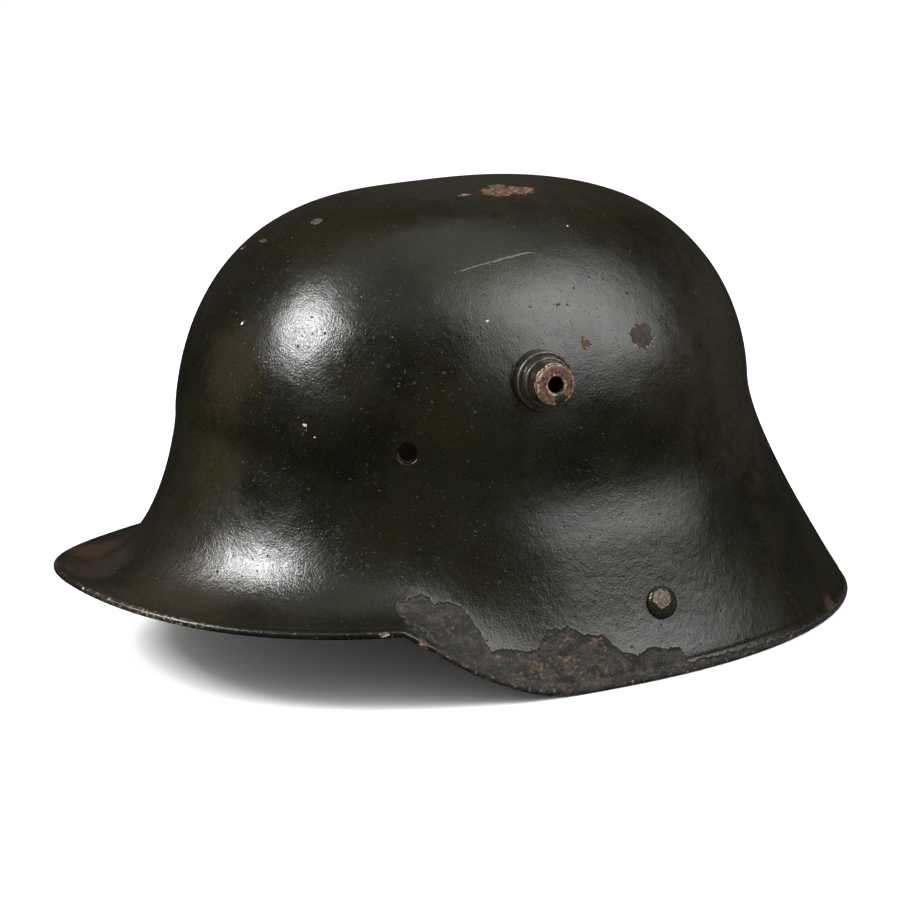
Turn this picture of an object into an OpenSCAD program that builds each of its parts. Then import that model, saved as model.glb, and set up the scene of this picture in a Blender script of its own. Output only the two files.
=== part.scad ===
// Steel combat helmet: a pressed shell with a visor, a flared skirt and a rolled
// rim, two stepped vent lugs, a leather liner and a chin strap stowed inside it.
// The origin is on the table under the middle of the helmet, +Z is up, the visor
// points to -Y and the wearer's left is +X. Lengths are in millimetres. Angles
// round the helmet are counted from the visor towards the wearer's left. A list
// of three values holds the front, the side and the rear one.

/* [Shell] */
// Height of the crown above the table
crown_h = 167.8; // [162:0.1:176]
// Half width of the dome at its widest
dome_side = 96.3; // [93:0.1:100]
// Reach of the dome forward
dome_front = 109.2; // [106:0.1:113]
// Reach of the dome backward
dome_rear = 111.3; // [108:0.1:116]
// Height at which the dome is widest
widest_z = [87.8, 81, 90.5]; // [78:0.1:94]
// Half width of the rim
rim_side = 121.6; // [118:0.1:127]
// Reach of the visor's rim
rim_front = 161.4; // [155:0.1:168]
// Reach of the skirt's rim backward
rim_rear = 150.7; // [147:0.1:158]
// Height of the visor's rim at its tip
visor_tip_z = 35.9; // [31:0.1:40]
// Height of the visor's rim beside the step
visor_side_z = 28.2; // [25:0.1:31]
// Angle at which the rim steps down from the visor to the skirt
step_angle = 67.2; // [63:0.1:71]
// Angle that the step takes
step_width = 28.7; // [22:0.1:34]
// Thickness of the steel
wall = 1.2; // [1:0.05:1.4]
// Radius of the rolled rim
bead_r = 1.35; // [1.1:0.05:1.7]

/* [Shell curves] */
// Roundness of the dome's plan, front and rear, where 2 is an ellipse
dome_plan = [2.22, 2.08]; // [1.9:0.01:2.6]
// Roundness of the rim's plan, front and rear
rim_plan = [2.15, 2.07]; // [1.9:0.01:2.6]
// Outward fullness of the dome's section
dome_out = [3.44, 2.62, 3.02]; // [2.4:0.01:4]
// Upward fullness of the dome's section
dome_up = [1.58, 2.06, 1.9]; // [1.4:0.01:2.4]
// Share of the drop to the rim that stays upright
flare_upright = [0.05, 0.42, 0.2]; // [0.05:0.01:0.6]
// Length over which the flare follows its slope at the rim
flare_lead = [35.6, 30.3, 31.5]; // [26:0.1:38]
// Slope of the flare at the rim, in degrees below level
flare_slope = [-27.8, 62.3, 60.6]; // [-30:0.1:66]
// How long the visor's rim stays level before it rises to the tip
visor_level = 4.6; // [2:0.1:5]
// Lean of the rim's step towards the visor
step_lean = 0.61; // [0.5:0.01:1]

/* [Vent lugs] */
// Angle of each vent lug round the helmet
lug_angle = 80.8; // [76:0.1:86]
// Height of each vent lug
lug_z = 107.8; // [105:0.1:111]
// Upward tilt of the lug's axis
lug_tilt = 1.8; // [0:0.1:5]
// Radius of the lug's flange
lug_flange_r = 10.7; // [10:0.05:12]
// Height of the flange's face above the shell
lug_flange_h = 3.3; // [2.8:0.1:4]
// Radius of the lug's middle step
lug_step_r = 8.9; // [8.2:0.05:9.3]
// Height of the middle step above the flange
lug_step_h = 3; // [2:0.05:4]
// Radius of the lug's barrel
lug_barrel_r = 7.4; // [6.8:0.05:7.9]
// Height of the barrel above the step
lug_barrel_h = 6.85; // [5.5:0.05:8]
// Rounding of the barrel's edge
lug_round_r = 1.8; // [1:0.1:2.5]
// Radius of the vent bore
lug_bore_r = 3.25; // [2.8:0.05:3.8]
// Radius of the shank that passes through the shell
lug_shank_r = 5; // [4.6:0.05:5.4]
// Radius of the shank's clenched end
lug_collar_r = 6.4; // [6:0.1:7]
// Thickness of the clenched end
lug_collar_h = 1; // [0.8:0.1:1.2]
// Radius of the washer inside the shell
lug_washer_r = 8.6; // [8:0.1:9.2]
// Thickness of that washer
lug_washer_t = 0.8; // [0.6:0.1:1]

/* [Liner] */
// Angle of each front liner pin
pin_angle = 52; // [51:0.1:54]
// Height of the liner pins
pin_z = 86.2; // [84:0.1:89]
// Radius of the liner pins' shanks
pin_r = 3.4; // [3:0.05:3.8]
// Radius of the liner pins' heads
pin_head_r = 7; // [6.2:0.1:8]
// Height of the liner pins' heads
pin_head_h = 2.2; // [1.6:0.1:3]
// Radius of the liner pins' washers
pin_washer_r = 6; // [5.5:0.1:6.5]
// Thickness of the liner pins' washers
pin_washer_t = 0.8; // [0.6:0.1:1]
// Length of each splayed leg
pin_leg_l = 10; // [8:0.5:11]
// Width of each splayed leg
pin_leg_w = 4.5; // [3:0.1:5.5]
// Thickness of each splayed leg
pin_leg_t = 1; // [0.8:0.1:1.2]
// Height of the band's lower edge
band_z = 76; // [74:0.5:78]
// Width of the band
band_w = 22; // [18:0.5:24]
// Thickness of the band's leather
band_t = 1.6; // [1.2:0.1:2]
// Least gap between the band and the shell
band_gap = 0.8; // [0.5:0.1:1.2]
// Height of the pads' lower edge
pad_z = 72; // [70:0.5:74]
// Height at which the pads start to lean in
pad_lean_z = 82; // [80:0.5:84]
// Height of the dome that the pads follow
pad_dome_h = 64; // [58:0.5:70]
// Thickness of the pads' leather
pad_t = 1.6; // [1.2:0.1:2]
// Half angle of the front pad at its foot
front_pad_half = 44; // [40:0.5:44]
// Angle between the front pad and each side pad at their feet
pad_gap = 14.5; // [12:0.5:20]
// Angle between the two side pads at their feet
rear_pad_gap = 14; // [12:0.5:20]
// Angle from the crown at which a tongue ends
tongue_tip = 24; // [20:1:26]
// Angle from the crown at which a tongue parts from the next
tongue_root = 62; // [56:1:68]
// Share of the space behind a pad that its cushion fills
cushion_fill = 0.28; // [0.2:0.01:0.32]
// Radius of the lace through the tongues
lace_r = 1.3; // [1:0.05:1.5]
// Radius of the lace holes
lace_hole_r = 3.2; // [3:0.05:3.6]

/* [Chin strap] */
// Angle of each strap rivet round the helmet
strap_angle = 100.2; // [98:0.1:104]
// Height of each strap rivet
strap_z = 25.1; // [24:0.1:28]
// Radius of the strap rivets' heads
rivet_head_r = 5.9; // [5.2:0.05:6.6]
// Height of the strap rivets' heads
rivet_head_h = 3.2; // [2.4:0.1:4]
// Radius of the strap rivets' shanks
rivet_r = 2.5; // [2:0.05:3]
// Radius of the boss that the rivet enters
boss_r = 5.5; // [5:0.1:6.5]
// Length of the boss
boss_l = 7.2; // [7:0.1:8]
// Radius of the pin that the strap swings on
pivot_r = 2.5; // [2:0.05:2.8]
// Radius of the pin's head
pivot_head_r = 4.3; // [3.8:0.1:5]
// Thickness of the pin's head
pivot_head_t = 1.6; // [1.2:0.1:2]
// How far inside the rim's side the hooks lie
hook_inset = 26; // [25.6:0.1:27.6]
// Thickness of the hooks
hook_t = 1.5; // [1.2:0.1:1.8]
// Half width of the hooks
hook_half_w = 6; // [5.5:0.1:6.5]
// Length of the hooks behind the pin
hook_l = 17; // [16.5:0.1:17.5]
// Width of the strap
strap_w = 13; // [11:0.1:14]
// Thickness of the strap
strap_t = 2.2; // [1.8:0.1:2.6]
// Distance of the strap's end from the pin
strap_start = 7.5; // [7:0.1:8]
// Length of the strap's straight arms, counted from the pin
strap_arm = 40; // [40:0.5:44]
// Reach of the strap from the pin
strap_reach = 104; // [100:0.5:106]
// Length of each sliding buckle
buckle_l = 9; // [8:0.1:10]
// Distance of each buckle from the pin
buckle_at = 18.5; // [18.1:0.1:19.5]
// Thickness of the buckles' frames
buckle_t = 1.4; // [1:0.1:1.8]

/* [Hidden] */

// Radial clearance of a pin in its hole, and the gap between pieces that lie on each other
running = 0.08;
seat = 0.1;
boss_gap = 0.25;
strap_lift = 0.4;
soft_gap = 0.3;

// Fineness of the shell: meridians, and rings over the dome, the flare and the bead
meridians = 72;
dome_rings = 12;
flare_rings = 10;
bead_step = 35;
bead_end = 280;

// Fineness of the soft pieces
pad_columns = 24;
pad_rows = 7;
cushion_columns = 12;
cushion_rows = 6;

$fn = 48;

steel_color = "darkolivegreen";
metal_color = "dimgray";
leather_color = "sienna";
linen_color = "tan";

// Value at an angle, blended from the front, side and rear ones
function around(a, v) = v[1] + (v[cos(a) >= 0 ? 0 : 2] - v[1])*pow(cos(a), 2);

// Distance from the middle to an oval at an angle
function oval(a, side, front, rear, n) =
    let (c = cos(a), k = n[1] + (n[0] - n[1])*(c + 1)/2)
    pow(pow(abs(sin(a))/side, k) + pow(abs(c)/(c >= 0 ? front : rear), k), -1/k);

function ease(t) = t*t*(3 - 2*t);
function clamp01(t) = min(1, max(0, t));

// Height of the rim: the visor's part, less the step down to the skirt
function rim_z(a) =
    let (step = ease(pow(clamp01((abs(a) - step_angle + step_width/2)/step_width), step_lean)),
         rise = pow(cos(min(90, abs(a)*90/step_angle)), visor_level))
    (visor_side_z + (visor_tip_z - visor_side_z)*rise)*(1 - step);

// A point of the outer surface as [distance from the middle, height]:
// over the dome, u runs from 0 at the crown to 90 at the widest line
function dome_rz(a, u) =
    let (w = around(a, widest_z))
    [oval(a, dome_side, dome_front, dome_rear, dome_plan)*pow(sin(u), 2/around(a, dome_out)),
     w + (crown_h - w)*pow(max(0, cos(u)), 2/around(a, dome_up))];

function bead_centre(a) =
    [oval(a, rim_side, rim_front, rim_rear, rim_plan) - bead_r, rim_z(a) + bead_r];

// A point of the bead, turned by an angle from where the flare meets it
function bead_rz(a, turn) = let (s = around(a, flare_slope))
    bead_centre(a) + bead_r*[sin(s + turn), cos(s + turn)];

// Over the flare, t runs from 0 at the widest line to 1 at the bead
function flare_rz(a, t) =
    let (top = dome_rz(a, 90), low = bead_rz(a, 0), s = around(a, flare_slope),
         stay = top - [0, around(a, flare_upright)*(top[1] - rim_z(a))],
         lead = low - around(a, flare_lead)*[cos(s), -sin(s)])
    pow(1 - t, 3)*top + 3*pow(1 - t, 2)*t*stay + 3*(1 - t)*t*t*lead + pow(t, 3)*low;

// The outer surface at an angle and a height, and in space
function flare_t(a, z, low = 0, high = 1, steps = 24) =
    let (mid = (low + high)/2)
    steps == 0 ? mid
    : flare_rz(a, mid)[1] > z ? flare_t(a, z, mid, high, steps - 1)
    : flare_t(a, z, low, mid, steps - 1);
function wall_r(a, z) =
    let (w = around(a, widest_z))
    z > w ? dome_rz(a, acos(pow((z - w)/(crown_h - w), around(a, dome_up)/2)))[0]
          : flare_rz(a, flare_t(a, z))[0];
function along(a, rz) = [rz[0]*sin(a), -rz[0]*cos(a), rz[1]];
function in_space(a, rz) = along(a, rz) + [0, (rim_front - rim_rear)/2, 0];
function wall_point(a, z) = in_space(a, [wall_r(a, z), z]);
function unit(v) = v/norm(v);
function wall_normal(a, z) = unit(cross(wall_point(a + 1, z) - wall_point(a - 1, z),
                                        wall_point(a, z + 1) - wall_point(a, z - 1)));

// Section of the shell at an angle: down the outside, round the bead, up the inside
function outside(a) = concat(
    [for (i = [1:dome_rings]) dome_rz(a, 90*pow(i/dome_rings, 1.25))],
    [for (i = [1:flare_rings]) flare_rz(a, i/flare_rings)]);
function inward(before, here, after) = let (d = unit(after - before)) here - wall*[-d[1], d[0]];
function section(a) =
    let (out = outside(a), last = len(out) - 1)
    concat(out,
           [for (turn = [bead_step:bead_step:bead_end]) bead_rz(a, turn)],
           [for (i = [last - 1:-1:0]) inward(i == 0 ? [0, crown_h] : out[i - 1], out[i], out[i + 1])]);

module shell_skin() {
    angles = [for (k = [0:meridians - 1]) 360*k/meridians - 180];
    sections = [for (a = angles) section(a)];
    rows = len(sections[0]);
    points = concat([in_space(0, [0, crown_h])],
                    [for (i = [0:rows - 1], k = [0:meridians - 1]) in_space(angles[k], sections[k][i])],
                    [in_space(0, [0, crown_h - wall])]);
    pole = rows*meridians + 1;
    faces = concat(
        [for (k = [0:meridians - 1]) let (next = (k + 1) % meridians) [0, next + 1, k + 1]],
        [for (i = [0:rows - 2], k = [0:meridians - 1])
            let (next = (k + 1) % meridians, ring = 1 + i*meridians, below = ring + meridians)
            each [[ring + k, ring + next, below + next], [ring + k, below + next, below + k]]],
        [for (k = [0:meridians - 1])
            let (next = (k + 1) % meridians, ring = 1 + (rows - 1)*meridians)
            [ring + k, ring + next, pole]]);
    polyhedron(points, faces);
}

// Skin over a row of closed loops. An open row is closed at its two ends by
// strips between the loop's first half and its second half, which runs back.
module loft(loops, closed = false) {
    n = len(loops[0]);
    m = len(loops);
    side = [for (i = [0:m - (closed ? 1 : 2)], j = [0:n - 1])
        let (a = i*n, b = ((i + 1) % m)*n, k = (j + 1) % n)
        each [[a + j, a + k, b + k], [a + j, b + k, b + j]]];
    cap = closed ? [] : [for (j = [0:n/2 - 2])
        let (e = (m - 1)*n, back = n - 1 - j)
        each [[j, back, back - 1], [j, back - 1, j + 1],
              [e + j, e + j + 1, e + back - 1], [e + j, e + back - 1, e + back]]];
    polyhedron([for (loop = loops) each loop], concat(side, cap));
}

// Children stand on a point with their +Z along an axis and their +X downwards
module stand(point, axis) {
    translate(point) rotate([0, acos(axis[2]), atan2(axis[1], axis[0])]) children();
}

// The same piece on the wearer's right
module on_right() { mirror([1, 0, 0]) children(); }

// Ball whose surface lies on the shell round a point, which shapes a seat there
module seat_ball(point, normal, radius) {
    translate(point - (radius - seat/2)*normal) sphere(radius, $fn = 96);
}

// Places that several pieces share
lug_point = wall_point(lug_angle, lug_z);
lug_normal = wall_normal(lug_angle, lug_z);
lug_axis = let (level = unit([lug_normal[0], lug_normal[1], 0]))
    [level[0]*cos(lug_tilt), level[1]*cos(lug_tilt), sin(lug_tilt)];
lug_lean = acos(lug_axis*lug_normal);
lug_washer_depth = wall + pow(lug_washer_r, 2)/(crown_h - lug_z)/2 + seat;
lug_collar_depth = lug_washer_depth + lug_washer_t + lug_collar_r*tan(lug_lean) + seat;
strap_point = wall_point(strap_angle, strap_z);
strap_normal = wall_normal(strap_angle, strap_z);
pivot = strap_point - (wall + boss_l)*strap_normal;
band_top = band_z + band_w;
hook_x = rim_side - hook_inset;
side_pad_half = (180 - rear_pad_gap/2 - front_pad_half - pad_gap)/2;
side_pad_mid = front_pad_half + pad_gap + side_pad_half;
pin_depth = 12;
lug_depth = 12;
rivet_depth = 5;

// Holes through the shell, for the lugs, the liner pins and the strap rivets
module lug_hole() { stand(lug_point, lug_axis) cylinder(h = 2*lug_depth, r = lug_shank_r + running, center = true); }
module pin_hole(a) {
    stand(wall_point(a, pin_z), wall_normal(a, pin_z))
        cylinder(h = 2*pin_depth, r = pin_r + running, center = true);
}
module rivet_hole() {
    stand(strap_point, strap_normal) cylinder(h = 2*rivet_depth, r = rivet_r + running, center = true);
}

module shell() color(steel_color) difference() {
    shell_skin();
    lug_hole();
    on_right() lug_hole();
    pin_hole(pin_angle);
    pin_hole(-pin_angle);
    pin_hole(180);
    rivet_hole();
    on_right() rivet_hole();
}

// Stepped hollow lug, seated on the shell and clenched over its washer inside
lug_sunk = 4;
lug_edge = 0.6;
module vent_lug() color(steel_color) {
    step_z = lug_flange_h + lug_step_h;
    tip_z = step_z + lug_barrel_h;
    difference() {
        union() {
            difference() {
                stand(lug_point, lug_axis) rotate_extrude() polygon(concat(
                    [[0, -lug_sunk], [lug_flange_r, -lug_sunk],
                     [lug_flange_r, lug_flange_h - lug_edge],
                     [lug_flange_r - lug_edge, lug_flange_h], [lug_step_r, lug_flange_h],
                     [lug_step_r, step_z - lug_edge], [lug_step_r - lug_edge, step_z],
                     [lug_barrel_r, step_z]],
                    [for (t = [0:15:90]) [lug_barrel_r - lug_round_r*(1 - cos(t)),
                                          tip_z - lug_round_r*(1 - sin(t))]],
                    [[0, tip_z]]));
                seat_ball(lug_point, lug_normal, dome_rear);
            }
            stand(lug_point, lug_axis) translate([0, 0, -lug_collar_depth]) cylinder(
                h = lug_collar_depth + lug_flange_h/2, r = lug_shank_r);
            stand(lug_point, lug_axis) translate([0, 0, -lug_collar_depth - lug_collar_h])
                cylinder(h = lug_collar_h, r = lug_collar_r);
        }
        stand(lug_point, lug_axis) cylinder(h = 5*lug_depth, r = lug_bore_r, center = true);
    }
}

module lug_washer() color(metal_color) difference() {
    stand(lug_point, lug_normal) translate([0, 0, -lug_washer_depth - lug_washer_t])
        cylinder(h = lug_washer_t, r = lug_washer_r);
    stand(lug_point, lug_axis) cylinder(h = 2*lug_depth, r = lug_shank_r + running, center = true);
}

// Domed head of a rivet or pin, flat underneath at a gap above the surface
head_edge = 0.4;
module domed_head(r, h, gap) {
    rise = h - gap - head_edge;
    ball = (r*r + rise*rise)/(2*rise);
    rotate_extrude() polygon(concat(
        [[0, gap], [r, gap]],
        [for (t = [8:-1:0]) let (x = r*t/8) [x, h - ball + sqrt(ball*ball - x*x)]]));
}

// Domed rivet head outside, with its shank through the shell into the strap lug
module strap_rivet() color(steel_color) stand(strap_point, strap_normal) {
    domed_head(rivet_head_r, rivet_head_h, boss_gap);
    translate([0, 0, -wall - boss_l/2]) cylinder(h = wall + boss_l/2 + rivet_head_h/2, r = rivet_r);
}

// Boss inside the skirt, and the level pin that the strap's hook swings on
module strap_lug() color(metal_color) difference() {
    union() {
        stand(strap_point, strap_normal) translate([0, 0, -wall - boss_gap - boss_l])
            cylinder(h = boss_l, r = boss_r);
        translate(pivot) rotate([0, -90, 0]) cylinder(h = pivot[0] - hook_x + hook_t + 2*soft_gap, r = pivot_r);
        translate([hook_x - hook_t - soft_gap, pivot[1], pivot[2]]) rotate([0, -90, 0])
            cylinder(h = pivot_head_t, r = pivot_head_r);
    }
    stand(strap_point, strap_normal) translate([0, 0, -wall - boss_l/2 - seat])
        cylinder(h = boss_l, r = rivet_r + running);
}

// Split pin of the liner: a low head outside and two legs splayed over a washer
pin_gap = 0.7;
washer_gap = 0.3;
function pin_level(a) = let (n = wall_normal(a, pin_z)) unit([n[0], n[1], 0]);
function pin_run(a) = (wall_r(a, pin_z) - band_r(a) + band_t)/(wall_normal(a, pin_z)*pin_level(a));
function pin_seat(a) = wall_point(a, pin_z) - pin_run(a)*wall_normal(a, pin_z);
module liner_pin(a) color(steel_color) {
    leg_z = washer_gap + pin_washer_t + seat;
    deep = pin_run(a) + leg_z + 2*pin_leg_t;
    stand(wall_point(a, pin_z), wall_normal(a, pin_z)) {
        domed_head(pin_head_r, pin_head_h, pin_gap);
        translate([0, 0, -deep]) cylinder(h = deep + pin_head_h/2, r = pin_r);
    }
    stand(pin_seat(a), pin_level(a)) translate([0, 0, -leg_z - pin_leg_t/2])
        cube([2*pin_leg_l, pin_leg_w, pin_leg_t], center = true);
}

module pin_washer(a) color(metal_color) difference() {
    stand(pin_seat(a), pin_level(a)) translate([0, 0, -washer_gap - pin_washer_t])
        cylinder(h = pin_washer_t, r = pin_washer_r);
    pin_hole(a);
}

// Leather band that hangs on the pins, just inside the shell
function band_r(a) = wall_r(a, band_top) - wall - band_gap;
module band_outline(inset) {
    polygon([for (k = [0:meridians - 1])
        let (a = 360*k/meridians - 180, p = in_space(a, [band_r(a) - inset, 0])) [p[0], p[1]]]);
}
module liner_band() color(leather_color) difference() {
    translate([0, 0, band_z]) linear_extrude(band_w) difference() {
        band_outline(0);
        band_outline(band_t);
    }
    pin_hole(pin_angle);
    pin_hole(-pin_angle);
    pin_hole(180);
}

// Back of a pad at an angle: upright below the line where it leans in, then a
// dome in which u runs from 90 at that line to 0 at the crown
function pad_foot_r(a) = band_r(a) - band_t - soft_gap;
function pad_rz(a, u) = [pad_foot_r(a)*sin(u), pad_lean_z + pad_dome_h*cos(u)];

// A pad spans x from -1 to 1, and each half of it ends in a tongue. The angle
// spreads from the foot to the crown, so that the six tongues end 60 apart.
function pad_angle(x, s, mid, half, crown_mid) =
    mid + (crown_mid - mid)*s*s + x*(half + (60 - half)*s*s);
function tongue_u(x) = tongue_tip + (tongue_root - tongue_tip)*pow(abs(abs(x) - 0.5)/0.5, 4);
function pad_column(x, mid, half, crown_mid) =
    let (foot = [for (z = [pad_z, pad_lean_z])
             let (a = pad_angle(x, 0, mid, half, crown_mid)) [a, [pad_foot_r(a), z], [1, 0]]],
         leaning = [for (i = [1:pad_rows])
             let (u = 90 + (tongue_u(x) - 90)*i/pad_rows,
                  a = pad_angle(x, (90 - u)/90, mid, half, crown_mid))
             [a, pad_rz(a, u), unit([pad_dome_h*sin(u), pad_foot_r(a)*cos(u)])]],
         back = concat(foot, leaning))
    concat([for (p = back) in_space(p[0], p[1])],
           [for (i = [len(back) - 1:-1:0]) let (p = back[i]) in_space(p[0], p[1] - pad_t*p[2])]);

// The lace lies on the tongues' dome and passes down through each tongue's hole
lace_u = 30;
function lace_out(a) = unit([pad_dome_h*sin(lace_u), pad_foot_r(a)*cos(lace_u)]);
function lace_rz(a, out) = pad_rz(a, lace_u) + (out - pad_t/2)*lace_out(a);
module lace_holes(angles) {
    for (a = angles) stand(in_space(a, lace_rz(a, 0)), along(a, lace_out(a)))
        cylinder(h = 4*pad_t, r = lace_hole_r, center = true);
}

module pad(mid, half, crown_mid) color(leather_color) difference() {
    loft([for (i = [0:pad_columns]) pad_column(2*i/pad_columns - 1, mid, half, crown_mid)]);
    lace_holes([crown_mid - 30, crown_mid + 30]);
}

// Flat cushion on the back of a pad, thick in its middle and thin at its edges
cushion_low = 80;
cushion_high = 48;
cushion_half = 0.86;
function cushion_column(x, mid, half, crown_mid) =
    let (rows = [for (i = [0:cushion_rows])
             let (u = cushion_low + (cushion_high - cushion_low)*i/cushion_rows,
                  s = 2*i/cushion_rows - 1,
                  a = pad_angle(cushion_half*x, (90 - u)/90, mid, half, crown_mid),
                  near = pad_rz(a, u) + [2*soft_gap, 0],
                  far = [wall_r(a, near[1]) - wall, near[1]],
                  full = 0.08 + 0.92*(1 - pow(x, 4))*(1 - pow(s, 4)))
             [a, near, near + cushion_fill*full*(far - near)]])
    concat([for (p = rows) in_space(p[0], p[2])],
           [for (i = [cushion_rows:-1:0]) in_space(rows[i][0], rows[i][1])]);
module cushion(mid, half, crown_mid) color(linen_color)
    loft([for (i = [0:cushion_columns])
        cushion_column(2*i/cushion_columns - 1, mid, half, crown_mid)]);

lace_swing = 3.2;
lace_angles = [for (tongue = [30:60:330], d = [-24, -15, -8, -4, -1.5, 0, 1.5, 4, 8, 15, 24]) tongue + d];
function lace_point(a) =
    let (wave = -sin(6*(a - 30)), out = lace_swing*sign(wave)*pow(abs(wave), 0.3))
    in_space(a, lace_rz(a, out));
module liner_lace() color(linen_color) {
    count = len(lace_angles);
    path = [for (a = lace_angles) lace_point(a)];
    loft([for (i = [0:count - 1])
        let (along = unit(path[(i + 1) % count] - path[(i + count - 1) % count]),
             side = unit(cross(along, [0, 0, 1])), up = cross(side, along))
        [for (t = [0:45:315]) path[i] + lace_r*(cos(t)*side + sin(t)*up)]], closed = true);
}

// The strap and what is on it, drawn straight back from the pin, then stowed
stow_angle = asin((pivot[2] - strap_lift)/norm([strap_reach, strap_w/2])) - atan(strap_w/2/strap_reach);
module stowed() {
    translate([0, pivot[1], pivot[2]]) rotate([-stow_angle, 0, 0]) children();
}
strap_x = hook_x - hook_t - seat - strap_t;
module strap_outline(inset, start) {
    outer = strap_x + strap_t - inset;
    far = strap_reach - inset;
    polygon(concat(
        [[outer, start]],
        [for (t = [0:6:180]) [outer*cos(t), strap_arm + (far - strap_arm)*sin(t)]],
        [[-outer, start]]));
}
module chin_strap() color(leather_color) stowed() difference() {
    translate([0, 0, -strap_w/2]) linear_extrude(strap_w) difference() {
        strap_outline(0, strap_start);
        strap_outline(strap_t, strap_start - 1);
    }
    for (side = [-1, 1]) hook_rivets(side*strap_x, rivet_hole_r);
}

// Steel hook on the pin, with two small rivets through the strap's end
hook_rivet_r = 1.2;
hook_rivet_head_r = 1.8;
hook_rivet_head_t = 1;
hook_corner_r = 1;
hook_rivet_y = [strap_start + 2.5, hook_l - 2.5];
rivet_hole_r = hook_rivet_r + running;
hook_eye_r = pivot_r + running;
module hook_rivets(x, r) {
    for (y = hook_rivet_y)
        translate([x, y, 0]) rotate([0, 90, 0]) cylinder(h = 4*strap_t, r = r, center = true);
}
module strap_hook() color(metal_color) stowed() {
    difference() {
        translate([hook_x - hook_t, 0, 0]) rotate([90, 0, 90]) linear_extrude(hook_t) hull() {
            circle(hook_half_w);
            for (side = [-1, 1])
                translate([hook_l - hook_corner_r, side*(hook_half_w - hook_corner_r)])
                    circle(hook_corner_r);
        }
        rotate([0, 90, 0]) cylinder(h = 3*hook_x, r = hook_eye_r, center = true);
    }
    inner = strap_x - seat - hook_rivet_head_t;
    for (y = hook_rivet_y) translate([inner, y, 0]) rotate([0, 90, 0]) {
        cylinder(h = hook_x - hook_t/2 - inner, r = hook_rivet_r);
        cylinder(h = hook_rivet_head_t, r = hook_rivet_head_r);
    }
}

// Rectangular frame that slides on the strap's straight arm
module buckle() color(metal_color) stowed() {
    inside = [strap_t + 2*soft_gap, strap_w + 2*soft_gap];
    translate([strap_x + strap_t/2, buckle_at + buckle_l/2, 0]) difference() {
        cube([inside[0] + 2*buckle_t, buckle_l, inside[1] + 2*buckle_t], center = true);
        cube([inside[0], 2*buckle_l, inside[1]], center = true);
    }
}

shell();
vent_lug();  // left_vent_lug
on_right() vent_lug();  // right_vent_lug
lug_washer();  // left_lug_washer
on_right() lug_washer();  // right_lug_washer
strap_rivet();  // left_strap_rivet
on_right() strap_rivet();  // right_strap_rivet
strap_lug();  // left_strap_lug
on_right() strap_lug();  // right_strap_lug
liner_pin(-pin_angle);  // right_liner_pin
liner_pin(180);  // rear_liner_pin
pin_washer(-pin_angle);  // right_pin_washer
pin_washer(180);  // rear_pin_washer
liner_band();
pad(0, front_pad_half, 0);  // front_pad
pad(side_pad_mid, side_pad_half, 120);  // left_pad
on_right() pad(side_pad_mid, side_pad_half, 120);  // right_pad
cushion(0, front_pad_half, 0);  // front_cushion
cushion(side_pad_mid, side_pad_half, 120);  // left_cushion
on_right() cushion(side_pad_mid, side_pad_half, 120);  // right_cushion
liner_lace();
chin_strap();
strap_hook();  // left_strap_hook
on_right() strap_hook();  // right_strap_hook
buckle();  // left_buckle
on_right() buckle();  // right_buckle
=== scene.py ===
import math

import bpy
import numpy as np
from mathutils import Matrix, Vector


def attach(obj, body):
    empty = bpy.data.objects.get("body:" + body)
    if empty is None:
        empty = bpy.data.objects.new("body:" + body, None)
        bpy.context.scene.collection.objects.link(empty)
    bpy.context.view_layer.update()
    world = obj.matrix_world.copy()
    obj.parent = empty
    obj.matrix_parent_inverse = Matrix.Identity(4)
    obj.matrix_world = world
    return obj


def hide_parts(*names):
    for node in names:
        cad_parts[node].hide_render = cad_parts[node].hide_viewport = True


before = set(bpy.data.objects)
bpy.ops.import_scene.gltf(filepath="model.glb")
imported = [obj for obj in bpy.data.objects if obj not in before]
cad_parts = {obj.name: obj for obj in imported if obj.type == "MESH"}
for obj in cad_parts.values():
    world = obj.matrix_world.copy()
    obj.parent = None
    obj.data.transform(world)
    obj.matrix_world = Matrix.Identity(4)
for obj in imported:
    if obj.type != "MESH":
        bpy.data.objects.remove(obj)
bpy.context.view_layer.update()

# Shell: one sheet of steel, 1.2 mm thick, pressed into a dome with a visor and a
# flared skirt, its rim rolled into a bead. Its curves are those of the drawing, in
# millimetres, with the front, side and rear ones blended round the helmet.
mm = 0.001
crown_h = 167.8
dome_reach = (109.2, 96.3, 111.3)
widest_z = (87.8, 81, 90.5)
rim_reach = (161.4, 121.6, 150.7)
visor_tip_z = 35.9
visor_side_z = 28.2
step_angle = 67.2
step_width = 28.7
step_lean = 0.61
visor_level = 4.6
wall = 1.2
bead_r = 1.35
dome_plan = (2.22, 2.08)
rim_plan = (2.15, 2.07)
dome_out = (3.44, 2.62, 3.02)
dome_up = (1.58, 2.06, 1.9)
flare_upright = (0.05, 0.42, 0.2)
flare_lead = (35.6, 30.3, 31.5)
flare_slope = (-27.8, 62.3, 60.6)
skirt_swell = 3.6
swell_angle = 96
swell_half = 14
swell_fade = 28
swell_peak = 0.56
swell_above = 0.2
swell_below = 0.33
step_ease = (-2, 1, 4, 7, 10, 13, 16, 19, 22)
middle_y = (rim_reach[0] - rim_reach[2]) / 2


def around(a, three):
    """Blends the front, side and rear values at an angle from the visor."""
    c = np.cos(np.radians(a))
    end = np.where(c >= 0, three[0], three[2])
    return three[1] + (end - three[1]) * c * c


def oval(a, reach, plan):
    """Distance from the middle to the outline at an angle."""
    c = np.cos(np.radians(a))
    s = np.abs(np.sin(np.radians(a)))
    k = plan[1] + (plan[0] - plan[1]) * (c + 1) / 2
    return ((s / reach[1]) ** k + (np.abs(c) / np.where(c >= 0, reach[0], reach[2])) ** k) ** (-1 / k)


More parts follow.
